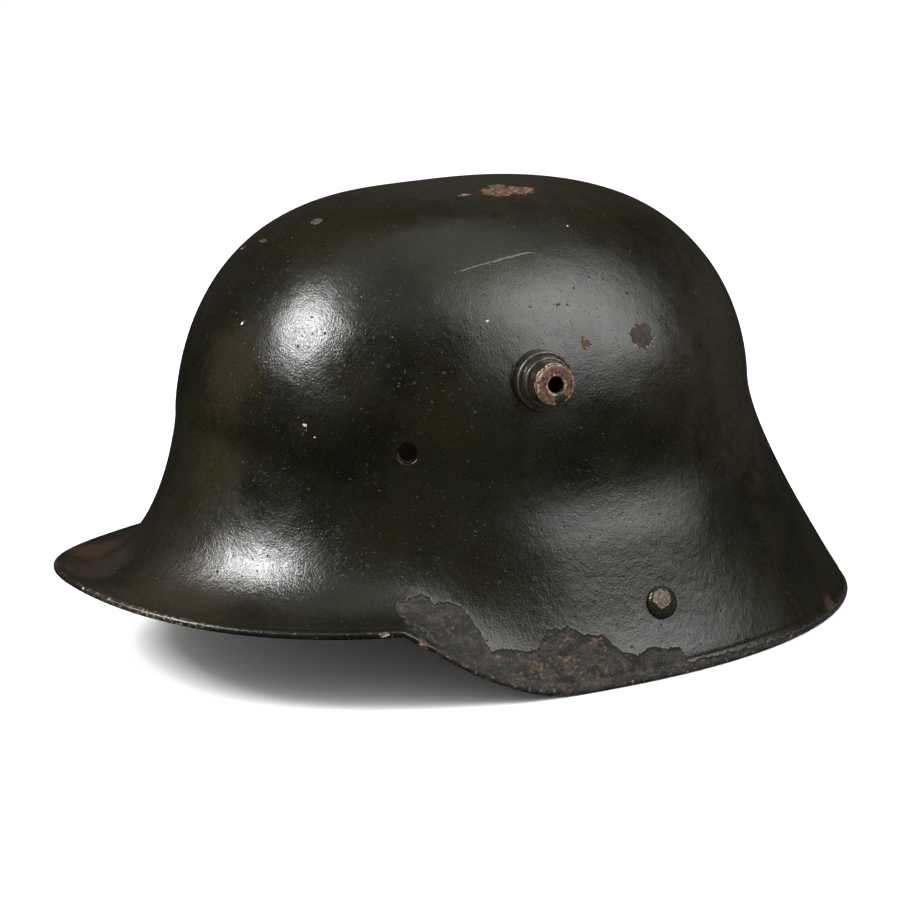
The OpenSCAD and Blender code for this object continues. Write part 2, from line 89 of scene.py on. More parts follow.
def rim_z(a):
    """Height of the rim, with the step from the visor down to the skirt."""
    t = np.clip((np.abs(a) - step_angle + step_width / 2) / step_width, 0, 1) ** step_lean
    rise = np.cos(np.radians(np.minimum(90, np.abs(a) * 90 / step_angle))) ** visor_level
    return (visor_side_z + (visor_tip_z - visor_side_z) * rise) * (1 - t * t * (3 - 2 * t))


def dome_rz(a, u):
    """Radius and height on the dome, from the crown at 0 to the widest line at 90."""
    w = around(a, widest_z)
    r = oval(a, dome_reach, dome_plan) * np.sin(np.radians(u)) ** (2 / around(a, dome_out))
    return r, w + (crown_h - w) * np.maximum(0, np.cos(np.radians(u))) ** (2 / around(a, dome_up))


def bead_rz(a, turn, radius=bead_r):
    """Radius and height on the rolled bead, turned from where the flare meets it."""
    s = np.radians(around(a, flare_slope) + turn)
    middle = oval(a, rim_reach, rim_plan) - bead_r
    return middle + radius * np.sin(s), rim_z(a) + bead_r + radius * np.cos(s)


def flare_rz(a, t):
    """Radius and height on the flare, from the widest line at 0 to the bead at 1."""
    top_r, top_z = dome_rz(a, 90 + 0 * a)
    low_r, low_z = bead_rz(a, 0)
    s = np.radians(around(a, flare_slope))
    soft_z = sum(rim_z(np.abs(a) + turn) for turn in step_ease) / len(step_ease)
    stay_z = top_z - around(a, flare_upright) * (top_z - soft_z)
    lean_z = low_z + soft_z - rim_z(a)
    lead = around(a, flare_lead)
    w0, w1, w2, w3 = (1 - t) ** 3, 3 * (1 - t) ** 2 * t, 3 * (1 - t) * t * t, t ** 3
    r = (w0 + w1) * top_r + w2 * (low_r - lead * np.cos(s)) + w3 * low_r
    z = w0 * top_z + w1 * stay_z + w2 * (lean_z + lead * np.sin(s)) + w3 * lean_z
    z = z + t ** 4 * (low_z - lean_z)
    off_side = np.clip((np.abs(np.abs(a) - swell_angle) - swell_half) / swell_fade, 0, 1)
    swell = skirt_swell * (1 - off_side * off_side * (3 - 2 * off_side))
    share = (z - rim_z(a)) / (top_z - rim_z(a))
    spread = np.where(share > swell_peak, swell_above, swell_below)
    swell = swell * np.exp(-((share - swell_peak) / spread) ** 2)
    return r + swell * np.clip(share / 0.1, 0, 1), z


def in_space(a, r, z):
    """Points from angles, radii and heights."""
    return np.stack([r * np.sin(np.radians(a)), middle_y - r * np.cos(np.radians(a)), z + 0 * r], -1)


def on_shell(a, z):
    """Points of the outer face at angles and heights."""
    a, z = np.broadcast_arrays(np.asarray(a, float), np.asarray(z, float))
    w = around(a, widest_z)
    share = np.clip((z - w) / (crown_h - w), 0, 1)
    dome_r, _ = dome_rz(a, np.degrees(np.arccos(share ** (around(a, dome_up) / 2))))
    low, high = np.zeros(a.shape), np.ones(a.shape)
    for _ in range(26):
        middle = (low + high) / 2
        above = flare_rz(a, middle)[1] > z
        low, high = np.where(above, middle, low), np.where(above, high, middle)
    return in_space(a, np.where(z > w, dome_r, flare_rz(a, low)[0]), z)


def shell_normal(a, z):
    n = np.cross(on_shell(a + 0.3, z) - on_shell(a - 0.3, z), on_shell(a, z + 0.3) - on_shell(a, z - 0.3))
    return n / np.linalg.norm(n, axis=-1, keepdims=True)


# The bare shell as rings of points: down the outside, round the bead, up the inside.
# The bead has one small nick where the visor ends.
meridians = 420
dome_rings = 54
close_from = 0.9
wall_until = 0.975
nick_angle = 57.2
nick_width = 0.5
nick_depth = 0.5
angles = -180 + 360 * np.arange(meridians) / meridians
outer = [dome_rz(angles, 90 * (i / dome_rings) ** 1.25) for i in range(1, dome_rings + 1)]
flare_t = list(np.linspace(0, close_from, 31)[1:]) + list(np.linspace(close_from, 1, 17)[1:])
outer += [flare_rz(angles, t) for t in flare_t]
outside = np.array([in_space(angles, r, z) for r, z in outer])
across = np.roll(outside, -1, 1) - np.roll(outside, 1, 1)
along = np.gradient(outside, axis=0)
lean = np.cross(along, across)
lean /= np.linalg.norm(lean, axis=2, keepdims=True)
nick = 1 - nick_depth * np.exp(-((angles - nick_angle) / nick_width) ** 2)
bead = [in_space(angles, *bead_rz(angles, turn, bead_r * nick)) for turn in range(24, 281, 24)]
turned_in = dome_rings + sum(1 for t in flare_t if t <= wall_until)
inside = (outside - wall * lean)[:turned_in][::-1]
rings = np.concatenate([outside, bead, inside])
last_ring = len(rings) - 1
inner_crown = len(rings) * meridians + 1
point_count = inner_crown + 1
crown = np.array([[0, middle_y, crown_h]])
points = [crown, rings.reshape(-1, 3), crown - [0, 0, wall]]


def ring_point(i, k):
    return 1 + i * meridians + k % meridians


# Holes for the lugs, the liner pins and the strap rivets: angle, height, radius and
# the rounding of the outer edge. Each is set into a block taken out of the rings.
lug_at = (80.8, 107.8)
pin_at = (52, 86.2)
rear_pin_angle = 179.9
strap_at = (100.2, 25.1)
lug_hole_r = 5.5
open_hole_r = 3.48
pin_hole_r = 3.5
rivet_hole_r = 2.6
holes = [(lug_at[0], lug_at[1], lug_hole_r, 0), (-lug_at[0], lug_at[1], lug_hole_r, 0),
         (pin_at[0], pin_at[1], open_hole_r, 0.7), (-pin_at[0], pin_at[1], pin_hole_r, 0),
         (rear_pin_angle, pin_at[1], pin_hole_r, 0),
         (strap_at[0], strap_at[1], rivet_hole_r, 0), (-strap_at[0], strap_at[1], rivet_hole_r, 0)]
gone = set()
faces = []
for angle, height, radius, rounding in holes:
    centre = on_shell(angle, height)
    normal = shell_normal(angle, height)
    level = np.cross([0, 0, 1], normal)
    level /= np.linalg.norm(level)
    steep = np.cross(normal, level)
    reach = radius + 5
    k0 = int(np.argmin(np.abs(angles - angle)))
    apart = np.linalg.norm(centre[:2] - [0, middle_y]) * math.radians(360 / meridians)
    half_k = int(round(reach / apart))
    column = outside[:, k0, 2]
    rows = [i for i in range(len(outside)) if abs(column[i] - height) < reach * abs(steep[2])]
    i0, i1 = rows[0], rows[-1]
    k_low, k_high = k0 - half_k, k0 + half_k
    frame_ik = ([(i, k_low) for i in range(i0, i1)] + [(i1, k) for k in range(k_low, k_high)]
                + [(i, k_high) for i in range(i1, i0, -1)] + [(i0, k) for k in range(k_high, k_low, -1)])
    edge = np.array([outside[i, k % meridians] for i, k in frame_ik]) - centre
    flat = np.stack([edge @ level, edge @ steep], -1)
    bearing = np.unwrap(np.arctan2(flat[:, 1], flat[:, 0]))
    way_round = np.sign(bearing[-1] - bearing[0])
    even = bearing[0] + np.linspace(0, 2 * np.pi, len(bearing), endpoint=False) * way_round
    bearing = 0.5 * bearing + 0.5 * even
    circle = np.stack([np.cos(bearing), np.sin(bearing)], -1)
    lip = radius + rounding
    steps = [(flat * (1 - s) + circle * lip * s, 0) for s in (0.2, 0.4, 0.6, 0.8, 1)]
    if rounding:
        steps += [(circle * (radius + rounding * (1 - math.sin(t))), rounding * (1 - math.cos(t)))
                  for t in (0.3, 0.6, 0.9, 1.2, 1.57)]
    steps += [(circle * radius, wall)]
    steps += [(flat * (1 - s) + circle * radius * s, wall) for s in (0.75, 0.5, 0.25)]
    chain = [[ring_point(i, k) for i, k in frame_ik]]
    for place, depth in steps:
        a = np.full(len(place), float(angle))
        z = height + place[:, 1] * steep[2]
        for _ in range(5):
            here = on_shell(a, z)
            miss = np.stack([(here - centre) @ level, (here - centre) @ steep], -1) - place
            da, dz = on_shell(a + 0.1, z) - here, on_shell(a, z + 0.1) - here
            m = np.array([[da @ level, dz @ level], [da @ steep, dz @ steep]]) * 10
            determinant = m[0, 0] * m[1, 1] - m[0, 1] * m[1, 0]
            a = a - (miss[:, 0] * m[1, 1] - miss[:, 1] * m[0, 1]) / determinant
            z = z - (miss[:, 1] * m[0, 0] - miss[:, 0] * m[1, 0]) / determinant
        points.append(on_shell(a, z) - depth * shell_normal(a, z))
        chain.append(list(range(point_count, point_count + len(place))))
        point_count += len(place)
    chain.append([ring_point(last_ring - i, k) for i, k in frame_ik])
    for ring, after in zip(chain, chain[1:]):
        for m in range(len(ring)):
            n = (m + 1) % len(ring)
            faces.append((ring[m], ring[n], after[n], after[m]))
    for i in range(i0, i1):
        for k in range(k_low, k_high):
            gone.add((i, k % meridians))
            gone.add((last_ring - i - 1, k % meridians))

for k in range(meridians):
    faces.append((0, ring_point(0, k), ring_point(0, k + 1)))
    faces.append((ring_point(last_ring, k), inner_crown, ring_point(last_ring, k + 1)))
for i in range(last_ring):
    for k in range(meridians):
        if (i, k) not in gone:
            faces.append((ring_point(i, k), ring_point(i + 1, k),
                          ring_point(i + 1, k + 1), ring_point(i, k + 1)))
points = np.concatenate(points)


def build(name, spots, made_faces):
    """Makes a piece from points in millimetres and faces."""
    skin = bpy.data.meshes.new(name)
    skin.from_pydata((spots * mm).tolist(), [], made_faces)
    made = bpy.data.objects.new(name, skin)
    bpy.context.collection.objects.link(made)
    return made


# The bare shell becomes a mesh, and old dents and lumps press its face in a little.
# Three values go with each point: whether it is on the bead, how far it lies inside
# the lines between which the paint has come off, and how worn the bead is there.
groove_at = 3.3
groove_half = 0.9
groove_depth = 0.3
shell = build("helmet_shell", points, faces)
mesh = shell.data
mesh.validate()
normals = np.zeros(len(points) * 3)
mesh.vertex_normals.foreach_get("vector", normals)
normals = normals.reshape(-1, 3)
outside_count = 1 + len(outside) * meridians
facing_out = np.zeros(len(points))
facing_out[:outside_count] = 1
first_inner = outside_count + len(bead) * meridians
bead_rows = np.zeros(len(points))
bead_rows[outside_count - meridians:first_inner] = 1
loose = np.arange(inner_crown + 1, len(points))
from_middle = points - [0, middle_y, 60]
facing_out[loose] = np.einsum("ij,ij->i", normals[loose], from_middle[loose]) > 0
dent = np.random.default_rng(7)
sway = np.zeros(len(points))
for size, depth in ((62, 0.28), (34, 0.13), (19, 0.06), (11, 0.03)):
    waves = np.zeros(len(points))
    for _ in range(7):
        heading = dent.normal(size=3)
        heading /= np.linalg.norm(heading)
        waves += np.sin(points @ heading * 2 * np.pi / size + dent.uniform(0, 2 * np.pi))
    sway += depth * (1 + np.clip(waves / 4, -1, 1)) / 2
bearing = np.degrees(np.arctan2(points[:, 0], middle_y - points[:, 1]))
above_rim = points[:, 2] - rim_z(bearing)
across_rim = np.hypot(points[:, 0], points[:, 1] - middle_y) - oval(bearing, rim_reach, rim_plan)
to_bead = np.hypot(across_rim + bead_r, above_rim - bead_r)
groove = groove_depth * np.exp(-((to_bead - groove_at) / groove_half) ** 2)
press = (sway * np.clip((to_bead - 4) / 12, 0, 1) + groove) * facing_out * (1 - bead_rows)
points = points - normals * press[:, None]
mesh.vertices.foreach_set("co", (points * mm).ravel())
# Angle and height of the bare band's upper and lower edges, then angle and wear
bare_top_at = ((-180, 2.5), (-120, 3), (-104, 9), (-92, 7), (-80, 14), (-70, 12), (-62, 20), (-56, 30),
               (-50, 28), (-44, 20), (48, 20), (50.3, 36), (51.8, 37.1), (53.5, 38.2), (55.5, 37),
               (56.5, 34.9), (58.5, 34.8), (60.2, 34.1), (61.5, 32.2), (62.8, 29.1), (63.8, 25.9),
               (64.8, 23.1), (65.6, 19), (67, 18.2), (69.2, 17.9), (72, 16.7), (74.6, 16.6),
               (75.6, 20.5), (76.4, 22), (77.8, 23.3), (79, 22.1), (81, 22.8), (82, 20.1), (83.5, 18.7),
               (86.5, 18.7), (87.8, 16), (88.8, 13.2), (90.2, 10.9), (93, 9.5), (95, 11.4), (98.2, 10),
               (101.3, 9.2), (101.8, 4.1), (104.2, 3.8), (108.8, 3.6), (130, 2.2), (150, 2.5),
               (180, 2.5))
bare_foot_at = ((49, 40), (50.3, 35.5), (51.5, 33.3), (54, 30.5), (56, 28), (57.5, 24.5), (58.5, -9),
                (180, -9))
wear_at = ((-180, 0.3), (-60, 0.5), (-20, 0.35), (-8, 0.5), (6, 0.65), (12, 1), (24, 0.9), (30, 0.3),
           (48, 0.15), (57, 0.3), (62, 0.55), (80, 0.4), (112, 0.55), (135, 0.25), (180, 0.3))


def along_rim(table):
    """Values at the points' angles, from a table of angles and values."""
    return np.interp(bearing, [at for at, _ in table], [value for _, value in table])


foot_z = along_rim(bare_foot_at)
foot_z[bearing < 0] = bare_foot_at[-1][1]
bare_by = np.minimum(along_rim(bare_top_at) - points[:, 2], points[:, 2] - foot_z)
values = {"bead": bead_rows, "bare": bare_by, "wear": along_rim(wear_at) * bead_rows}
for name, value in values.items():
    mesh.attributes.new(name, "FLOAT", "POINT").data.foreach_set("value", value.astype(np.float32))
mesh.polygons.foreach_set("use_smooth", [True] * len(mesh.polygons))
mesh.update()


def wire(tree, kind, sockets=(), **settings):
    """Adds a node, with its settings, and sets or links its inputs."""
    made = tree.nodes.new(kind)
    for setting, value in settings.items():
        setattr(made, setting, value)
    for socket, value in dict(sockets).items():
        if isinstance(value, bpy.types.NodeSocket):
            tree.links.new(value, made.inputs[socket])
        else:
            made.inputs[socket].default_value = value
    return made.outputs


def reckon(tree, operation, a, b=0.0, c=0.0, clamp=False):
    return wire(tree, "ShaderNodeMath", {0: a, 1: b, 2: c}, operation=operation, use_clamp=clamp)[0]


def times(tree, a, b):
    return reckon(tree, "MULTIPLY", a, b)


def onto(tree, value, share, base):
    """A share of a value, laid onto a base."""
    return reckon(tree, "MULTIPLY_ADD", value, share, base)


def most(tree, a, b):
    return reckon(tree, "MAXIMUM", a, b)


def steer(tree, operation, a, b=(0, 0, 0)):
    """Vector arithmetic; a length, a distance or a dot product is one number."""
    made = wire(tree, "ShaderNodeVectorMath", {0: a, 1: b}, operation=operation)
    return made[1] if operation in ("LENGTH", "DISTANCE", "DOT_PRODUCT") else made[0]


def scaled(tree, a, by):
    return wire(tree, "ShaderNodeVectorMath", {0: a, "Scale": by}, operation="SCALE")[0]


def ease(tree, value, low, high, to_low=0.0, to_high=1.0):
    """Smooth step of a value between two limits."""
    return wire(tree, "ShaderNodeMapRange", {0: value, 1: low, 2: high, 3: to_low, 4: to_high},
                interpolation_type="SMOOTHSTEP")[0]


def tint(tree, share, a, b):
    """Mixes two colours."""
    return wire(tree, "ShaderNodeMix", {0: share, 6: a, 7: b}, data_type="RGBA")[2]


def between(tree, share, a, b):
    """Mixes two numbers."""
    return wire(tree, "ShaderNodeMix", {0: share, 2: a, 3: b}, data_type="FLOAT")[0]


def cloud(tree, place, scale, detail=2.0, rough=0.5, stretch=(1, 1, 1)):
    """Noise at a number of features for each millimetre."""
    at = wire(tree, "ShaderNodeMapping", {0: place, 3: stretch})[0]
    settings = {"Vector": at, "Scale": scale, "Detail": detail, "Roughness": rough}
    return wire(tree, "ShaderNodeTexNoise", settings)[0]


def drift(tree, place, scale, detail, rough=0.5):
    """Noise as a vector, to shift a place by."""
    settings = {"Vector": place, "Scale": scale, "Detail": detail, "Roughness": rough}
    return wire(tree, "ShaderNodeTexNoise", settings)[1]


def dots(tree, place, scale, channel, size, chance):
    """Round spots on the points of a cell pattern, on some of them only."""
    spots = wire(tree, "ShaderNodeTexVoronoi", {"Vector": place, "Scale": scale})
    lot = wire(tree, "ShaderNodeSeparateColor", {0: spots["Color"]})[channel]
    return times(tree, ease(tree, spots["Distance"], *size), ease(tree, lot, *chance))


def start_group(name, inputs, outputs):
    """Starts a shared effect and returns its tree with its ways in and out."""
    tree = bpy.data.node_groups.new(name, "ShaderNodeTree")
    for title, kind, value in inputs:
        socket = tree.interface.new_socket(title, in_out="INPUT", socket_type=kind)
        socket.default_value = value
    for title, kind in outputs:
        tree.interface.new_socket(title, in_out="OUTPUT", socket_type=kind)
    return tree, tree.nodes.new("NodeGroupInput").outputs, tree.nodes.new("NodeGroupOutput").inputs


def place_group(tree, group, sockets):
    """Places a shared effect in a material with its own values."""
    return wire(tree, "ShaderNodeGroup", sockets, node_tree=group)


def start_finish(name):
    """Starts a material and returns it with its tree and the place in millimetres."""
    finish = bpy.data.materials.new(name)
    finish.use_nodes = True
    finish.node_tree.nodes.clear()
    place = wire(finish.node_tree, "ShaderNodeTexCoord")["Object"]
    return finish, finish.node_tree, scaled(finish.node_tree, place, 1000.0)


def lay_finish(tree, colour, shine, height, strength=1.0, **more):
    """Ends a material: its height in millimetres as a bump, and its surface."""
    relief = wire(tree, "ShaderNodeBump", {"Strength": strength, "Distance": mm, "Height": height})[0]
    sockets = {"Base Color": colour, "Roughness": shine, "Normal": relief, **more}
    surface = wire(tree, "ShaderNodeBsdfPrincipled", sockets)[0]
    wire(tree, "ShaderNodeOutputMaterial", {0: surface})


VECTOR = "NodeSocketVector"
FLOAT = "NodeSocketFloat"

# A chip is a ragged patch without paint, with a pale broken edge; a scratch is a
# thin line between two points. Both are worked out in millimetres.
chip_group, given, out = start_group(
    "paint_chip", (("Place", VECTOR, (0, 0, 0)), ("Ragged", VECTOR, (0, 0, 0)),
                   ("Centre", VECTOR, (0, 0, 0)), ("Stretch", VECTOR, (1, 1, 1)),
                   ("Radius", FLOAT, 1.0), ("Edge", FLOAT, 0.3)),
    (("Bare", FLOAT), ("Edge", FLOAT)))
off = steer(chip_group, "SUBTRACT", given["Place"], given["Centre"])
off = steer(chip_group, "MULTIPLY", off, given["Stretch"])
shift = scaled(chip_group, given["Ragged"], given["Radius"])
off = steer(chip_group, "ADD", off, shift)
far = steer(chip_group, "LENGTH", off)
beyond = reckon(chip_group, "SUBTRACT", far, given["Radius"])
bare = ease(chip_group, beyond, 0.12, -0.12)
past_edge = reckon(chip_group, "SUBTRACT", beyond, given["Edge"])
ring = reckon(chip_group, "SUBTRACT", ease(chip_group, past_edge, 0.12, -0.12), bare, clamp=True)
chip_group.links.new(bare, out["Bare"])
chip_group.links.new(ring, out["Edge"])

scratch_group, given, out = start_group(
    "scratch", (("Place", VECTOR, (0, 0, 0)), ("From", VECTOR, (0, 0, 0)), ("To", VECTOR, (1, 0, 0)),
                ("Width", FLOAT, 0.3)), (("Line", FLOAT),))
run = steer(scratch_group, "SUBTRACT", given["To"], given["From"])
off = steer(scratch_group, "SUBTRACT", given["Place"], given["From"])
dot = steer(scratch_group, "DOT_PRODUCT", off, run)
size = steer(scratch_group, "DOT_PRODUCT", run, run)
share = reckon(scratch_group, "DIVIDE", dot, size, clamp=True)
back = scaled(scratch_group, run, share)
off = steer(scratch_group, "SUBTRACT", off, back)
far = steer(scratch_group, "LENGTH", off)
from_mid = reckon(scratch_group, "ABSOLUTE", reckon(scratch_group, "SUBTRACT", share, 0.5))
taper = reckon(scratch_group, "SUBTRACT", 1.15, reckon(scratch_group, "POWER", from_mid, 2.0))
thin = times(scratch_group, given["Width"], taper)
line = ease(scratch_group, reckon(scratch_group, "DIVIDE", far, thin), 1.0, 0.55)
scratch_group.links.new(line, out["Line"])

# Paint: dark olive lacquer brushed on thick, now glossy, lumpy and pitted. It is
# chipped to red primer, cracked, and gone along the rim, where the steel rusts.
paint, tree, place = start_finish("olive_lacquer")
ragged = steer(tree, "SUBTRACT", drift(tree, place, 0.55, 4.0, 0.62), (0.5, 0.5, 0.5))
wandering = steer(tree, "ADD", place, scaled(tree, ragged, 1.6))
wide = scaled(tree, ragged, 1.5)
wild = scaled(tree, ragged, 4.5)

# Centre, radius, stretch, pale edge and share of rust of each chip
chips = (((25.5, 10.5, 166.2), 5.6, (0.9, 0.95, 1), 0.05, 1.0),
         ((26.5, 19.5, 165.9), 5.2, (1, 0.9, 1), 0.05, 1.0),
         ((25.5, -2.6, 166.4), 1.9, (1.2, 0.7, 1), 0.05, 1.0),
         ((18, 15, 167.2), 3.2, (1, 1, 1), 0.05, 0.8),
         ((87.0, 34.9, 117.4), 5.1, (1, 1, 1.05), 0.22, 0.0),
         ((89.5, 10.1, 118.0), 2.0, (1, 1.3, 0.8), 0.1, 1.0),
         ((9.1, -55.4, 160.6), 2.2, (0.8, 1.2, 1.6), 0.3, 0.4),
         ((-23.2, -71.7, 148.8), 1.1, (0.6, 1.6, 1.6), 0.35, 0.2),
         ((-8.9, -69.6, 152.8), 1.3, (0.5, 1.6, 1.6), 0.3, 0.2),
         ((106.8, -82.7, 30.6), 2.3, (1, 1, 1), 0.4, 1.0),
         ((108.8, -69.3, 25.6), 2.6, (1, 1.7, 0.7), 0.2, 0.5),
         ((120.7, -17.5, 2.7), 1.7, (1, 0.8, 1), 0.1, 0.3),
         ((118.2, 20.5, 6.4), 2.6, (1, 1.5, 0.9), 0.1, 0.9), ((-70, 60, 138), 5.0, (1, 1, 1), 0.4, 0.1),
         ((-88, -20, 118), 2.4, (1, 1, 1), 0.3, 0.2), ((-30, 104, 100), 3.0, (1, 1, 1.2), 0.35, 0.3),
         ((-97, 20, 60), 2.0, (1, 1, 1), 0.25, 0.6))
# Centre and radius of each white fleck
flecks = (((81.1, -24.5, 129.3), 0.6), ((16.1, -90.7, 127.7), 0.8), ((17.3, -90.0, 128.9), 0.5),
          ((56.5, -86.0, 95.9), 0.8), ((60.0, -84.0, 92.0), 0.4), ((19.7, -112.5, 63.1), 0.7),
          ((106.9, 7.2, 30.8), 0.8), ((99.9, -55.9, 35.2), 0.6), ((55.5, 1.4, 157.1), 0.5),
          ((57.3, 22.5, 155.5), 0.5), ((9.1, -155.7, 37.9), 0.9), ((-21.1, -136.1, 36.9), 0.7),
          ((-83, 30, 126), 0.8), ((-20, 118, 70), 0.9), ((40, 108, 60), 0.8))
# Ends and width of each scratch
scratches = (((67.0, -28.8, 145.5), (67.8, -15.3, 147.5), 0.35),
             ((67.8, -15.3, 147.5), (67.1, 1.8, 149.3), 0.45),
             ((67.1, 1.8, 149.3), (71.9, 10.6, 145.0), 0.12),
             ((31.0, -86.4, 136.3), (38.2, -80.1, 139.8), 0.32),
             ((38.2, -80.1, 139.8), (42.9, -72.2, 144.3), 0.28),
             ((62.7, -82.4, 108.2), (64.6, -79.1, 111.3), 0.26),
             ((64.6, -79.1, 111.3), (66.4, -76.4, 112.9), 0.2),
             ((63.5, -89.9, 70.3), (68.6, -86.5, 65.6), 0.12),
             ((68.6, -86.5, 65.6), (73.5, -82.4, 61.1), 0.12), ((-60, -50, 140), (-72, -10, 140), 0.3),
             ((-92, 40, 100), (-97, 10, 82), 0.22), ((30, 100, 120), (-5, 108, 112), 0.22))
# Centre, radius and colour of each soft tinge
tinges = (((-32, -147, 36), 6, (0.06, 0.03, 0.016, 1)), ((36, -140, 36), 40, (0.019, 0.0125, 0.008, 1)),
          ((-30, -138, 38), 24, (0.017, 0.0115, 0.007, 1)),
          ((18, -96, 112), 24, (0.014, 0.0095, 0.0042, 1)),
          ((20, -112, 78), 22, (0.0115, 0.0095, 0.003, 1)),
          ((62, -20, 150), 30, (0.0105, 0.0105, 0.0036, 1)),
          ((10, 10, 168), 50, (0.013, 0.011, 0.0075, 1)), ((60, 90, 100), 60, (0.0145, 0.012, 0.008, 1)),
          ((80, -20, 70), 30, (0.0052, 0.005, 0.0016, 1)), ((86, 114, 4), 6, (0.035, 0.019, 0.011, 1)),
          ((-60, -126, 34), 20, (0.03, 0.016, 0.008, 1)))
up_by = wire(tree, "ShaderNodeSeparateXYZ", {0: place})[2]
primer = 0.0
pale = 0.0
warm = 0.0
for centre, radius, stretch, edge, share in chips:
    made = place_group(tree, chip_group, {"Place": place, "Ragged": wide, "Centre": centre,
                                          "Stretch": stretch, "Radius": radius, "Edge": edge})
    primer = most(tree, primer, made["Bare"])
    # Each chip's pale broken edge is real, but stronger on its lower side: a painted highlight on the lower
    # lip.
    above_mid = reckon(tree, "SUBTRACT", up_by, centre[2] - 0.3 * radius)
    lit_lower_side = ease(tree, above_mid, 0.25 * radius, -0.25 * radius, 0.15)
    pale = most(tree, pale, times(tree, made["Edge"], lit_lower_side))
    warm = most(tree, warm, times(tree, made["Bare"], share))
speck = 0.0
for centre, radius in flecks:
    made = place_group(tree, chip_group, {"Place": place, "Ragged": wild, "Centre": centre,
                                          "Stretch": (1.1, 0.9, 1.5), "Radius": radius, "Edge": 0.05})
    speck = most(tree, speck, made["Bare"])
lines = 0.0
for start, end, width in scratches:
    made = place_group(tree, scratch_group, {"Place": wandering, "From": start, "To": end, "Width": width})
    lines = most(tree, lines, made["Line"])
broken = ease(tree, cloud(tree, place, 0.9, 2.0), 0.46, 0.56)
pale = times(tree, pale, broken)
speck = most(tree, speck, pale)

# Bare band along the rim, with a crack of paint at its upper edge, and wear on the bead
bare = wire(tree, "ShaderNodeAttribute", attribute_name="bare")["Fac"]
torn = cloud(tree, place, 0.42, 3.0, 0.55)
below = onto(tree, reckon(tree, "SUBTRACT", torn, 0.5), 3.6, bare)
gone_paint = ease(tree, below, -0.1, 0.1)
# The crack is real, and its dark line is also painted shadow under the paint's raised edge.
crack_and_shadow = times(tree, ease(tree, below, -0.2, 0.05), ease(tree, below, 0.75, 0.35))
# The paint's raised edge just above the crack is real; its pale colour is a painted highlight.
lip = times(tree, ease(tree, below, -0.7, -0.4), ease(tree, below, -0.1, -0.3))
blotch = cloud(tree, place, 0.13, 3.0, 0.6)
grit = cloud(tree, place, 0.75, 3.0, 0.65)
heart = steer(tree, "DISTANCE", place, (114, -14, 13))
heart = ease(tree, heart, 34.0, 8.0, -0.1, 0.03)
rusty = reckon(tree, "ADD", onto(tree, grit, 0.75, blotch), heart)
rusty = ease(tree, rusty, 0.84, 1.0, 0.0, 0.75)
hot = ease(tree, cloud(tree, place, 0.6, 3.0, 0.6), 0.48, 0.62)
left_paint = ease(tree, cloud(tree, place, 0.17, 5.0, 0.7, (1, 1, 1.6)), 0.5, 0.56)
glint = ease(tree, cloud(tree, place, 1.3, 2.0, 0.6), 0.5, 0.68)
streak = cloud(tree, place, 0.8, 5.0, 0.7, (0.35, 0.35, 1.2))
on_bead = wire(tree, "ShaderNodeAttribute", attribute_name="bead")["Fac"]
wear = wire(tree, "ShaderNodeAttribute", attribute_name="wear")["Fac"]
worn_bead = ease(tree, onto(tree, wear, 0.17, cloud(tree, place, 0.55, 4.0, 0.65)), 0.68, 0.73)
worn_bead = times(tree, worn_bead, on_bead)

# Height of the paint in millimetres: brush strokes, orange peel, lumps and pits
strokes = cloud(tree, place, 0.9, 3.0, 0.6, (1, 1, 0.28))
peel = cloud(tree, place, 0.38, 2.0, 0.5)
fine = cloud(tree, place, 1.4, 2.0, 0.6)
coarse = ease(tree, cloud(tree, place, 0.045, 2.0, 0.5), 0.42, 0.62)
lumps = cloud(tree, place, 0.11, 2.0, 0.5)
low_down = ease(tree, up_by, 95.0, 30.0)
pits = dots(tree, wandering, 0.3, 0, (0.17, 0.08), (0.66, 0.76))
pricks = dots(tree, wandering, 0.8, 2, (0.22, 0.1), (0.72, 0.85))
pits = most(tree, pits, times(tree, pricks, 0.8))
bits = dots(tree, wandering, 0.33, 1, (0.2, 0.02), (0.7, 0.85))
height = times(tree, strokes, onto(tree, low_down, 0.05, 0.03))
height = onto(tree, peel, onto(tree, low_down, 0.1, 0.025), height)
height = onto(tree, fine, onto(tree, coarse, 0.06, 0.075), height)
for mark, up_or_down in ((lumps, 0.25), (pits, -0.12), (bits, 0.05), (primer, -0.16), (lines, -0.08),
                         (gone_paint, -0.2), (lip, 0.05)):
    height = onto(tree, mark, up_or_down, height)
rough_steel = most(tree, gone_paint, times(tree, on_bead, 0.5))
height = onto(tree, times(tree, rough_steel, grit), 0.2, height)
height = onto(tree, times(tree, rough_steel, streak), 0.25, height)

# Colours, from the bottom coat up
olive = tint(tree, ease(tree, cloud(tree, place, 0.02, 5.0, 0.6), 0.35, 0.65),
             (0.0022, 0.002, 0.0002, 1), (0.0062, 0.0056, 0.0014, 1))
for centre, radius, shade in tinges:
    off = steer(tree, "DISTANCE", wandering, centre)
    off = onto(tree, blotch, radius * 0.9, off)
    olive = tint(tree, ease(tree, off, radius * 1.5, radius * 0.75, 0.0, 0.8), olive, shade)
dusty = ease(tree, cloud(tree, place, 0.7, 5.0, 0.7, (1, 1, 0.5)), 0.58, 0.75)
olive = tint(tree, times(tree, dusty, 0.12), olive, (0.05, 0.047, 0.03, 1))
primer_red = tint(tree, ease(tree, cloud(tree, place, 0.5, 4.0, 0.6), 0.4, 0.65),
                  (0.014, 0.006, 0.0068, 1), (0.029, 0.0125, 0.0125, 1))
rust = tint(tree, hot, (0.028, 0.015, 0.008, 1), (0.105, 0.05, 0.022, 1))
chip_rust = tint(tree, hot, (0.045, 0.018, 0.006, 1), (0.2, 0.085, 0.024, 1))
bottom = tint(tree, warm, primer_red, chip_rust)
bottom = tint(tree, times(tree, warm, ease(tree, grit, 0.5, 0.42)), bottom, (0.012, 0.009, 0.005, 1))
colour = tint(tree, primer, olive, bottom)
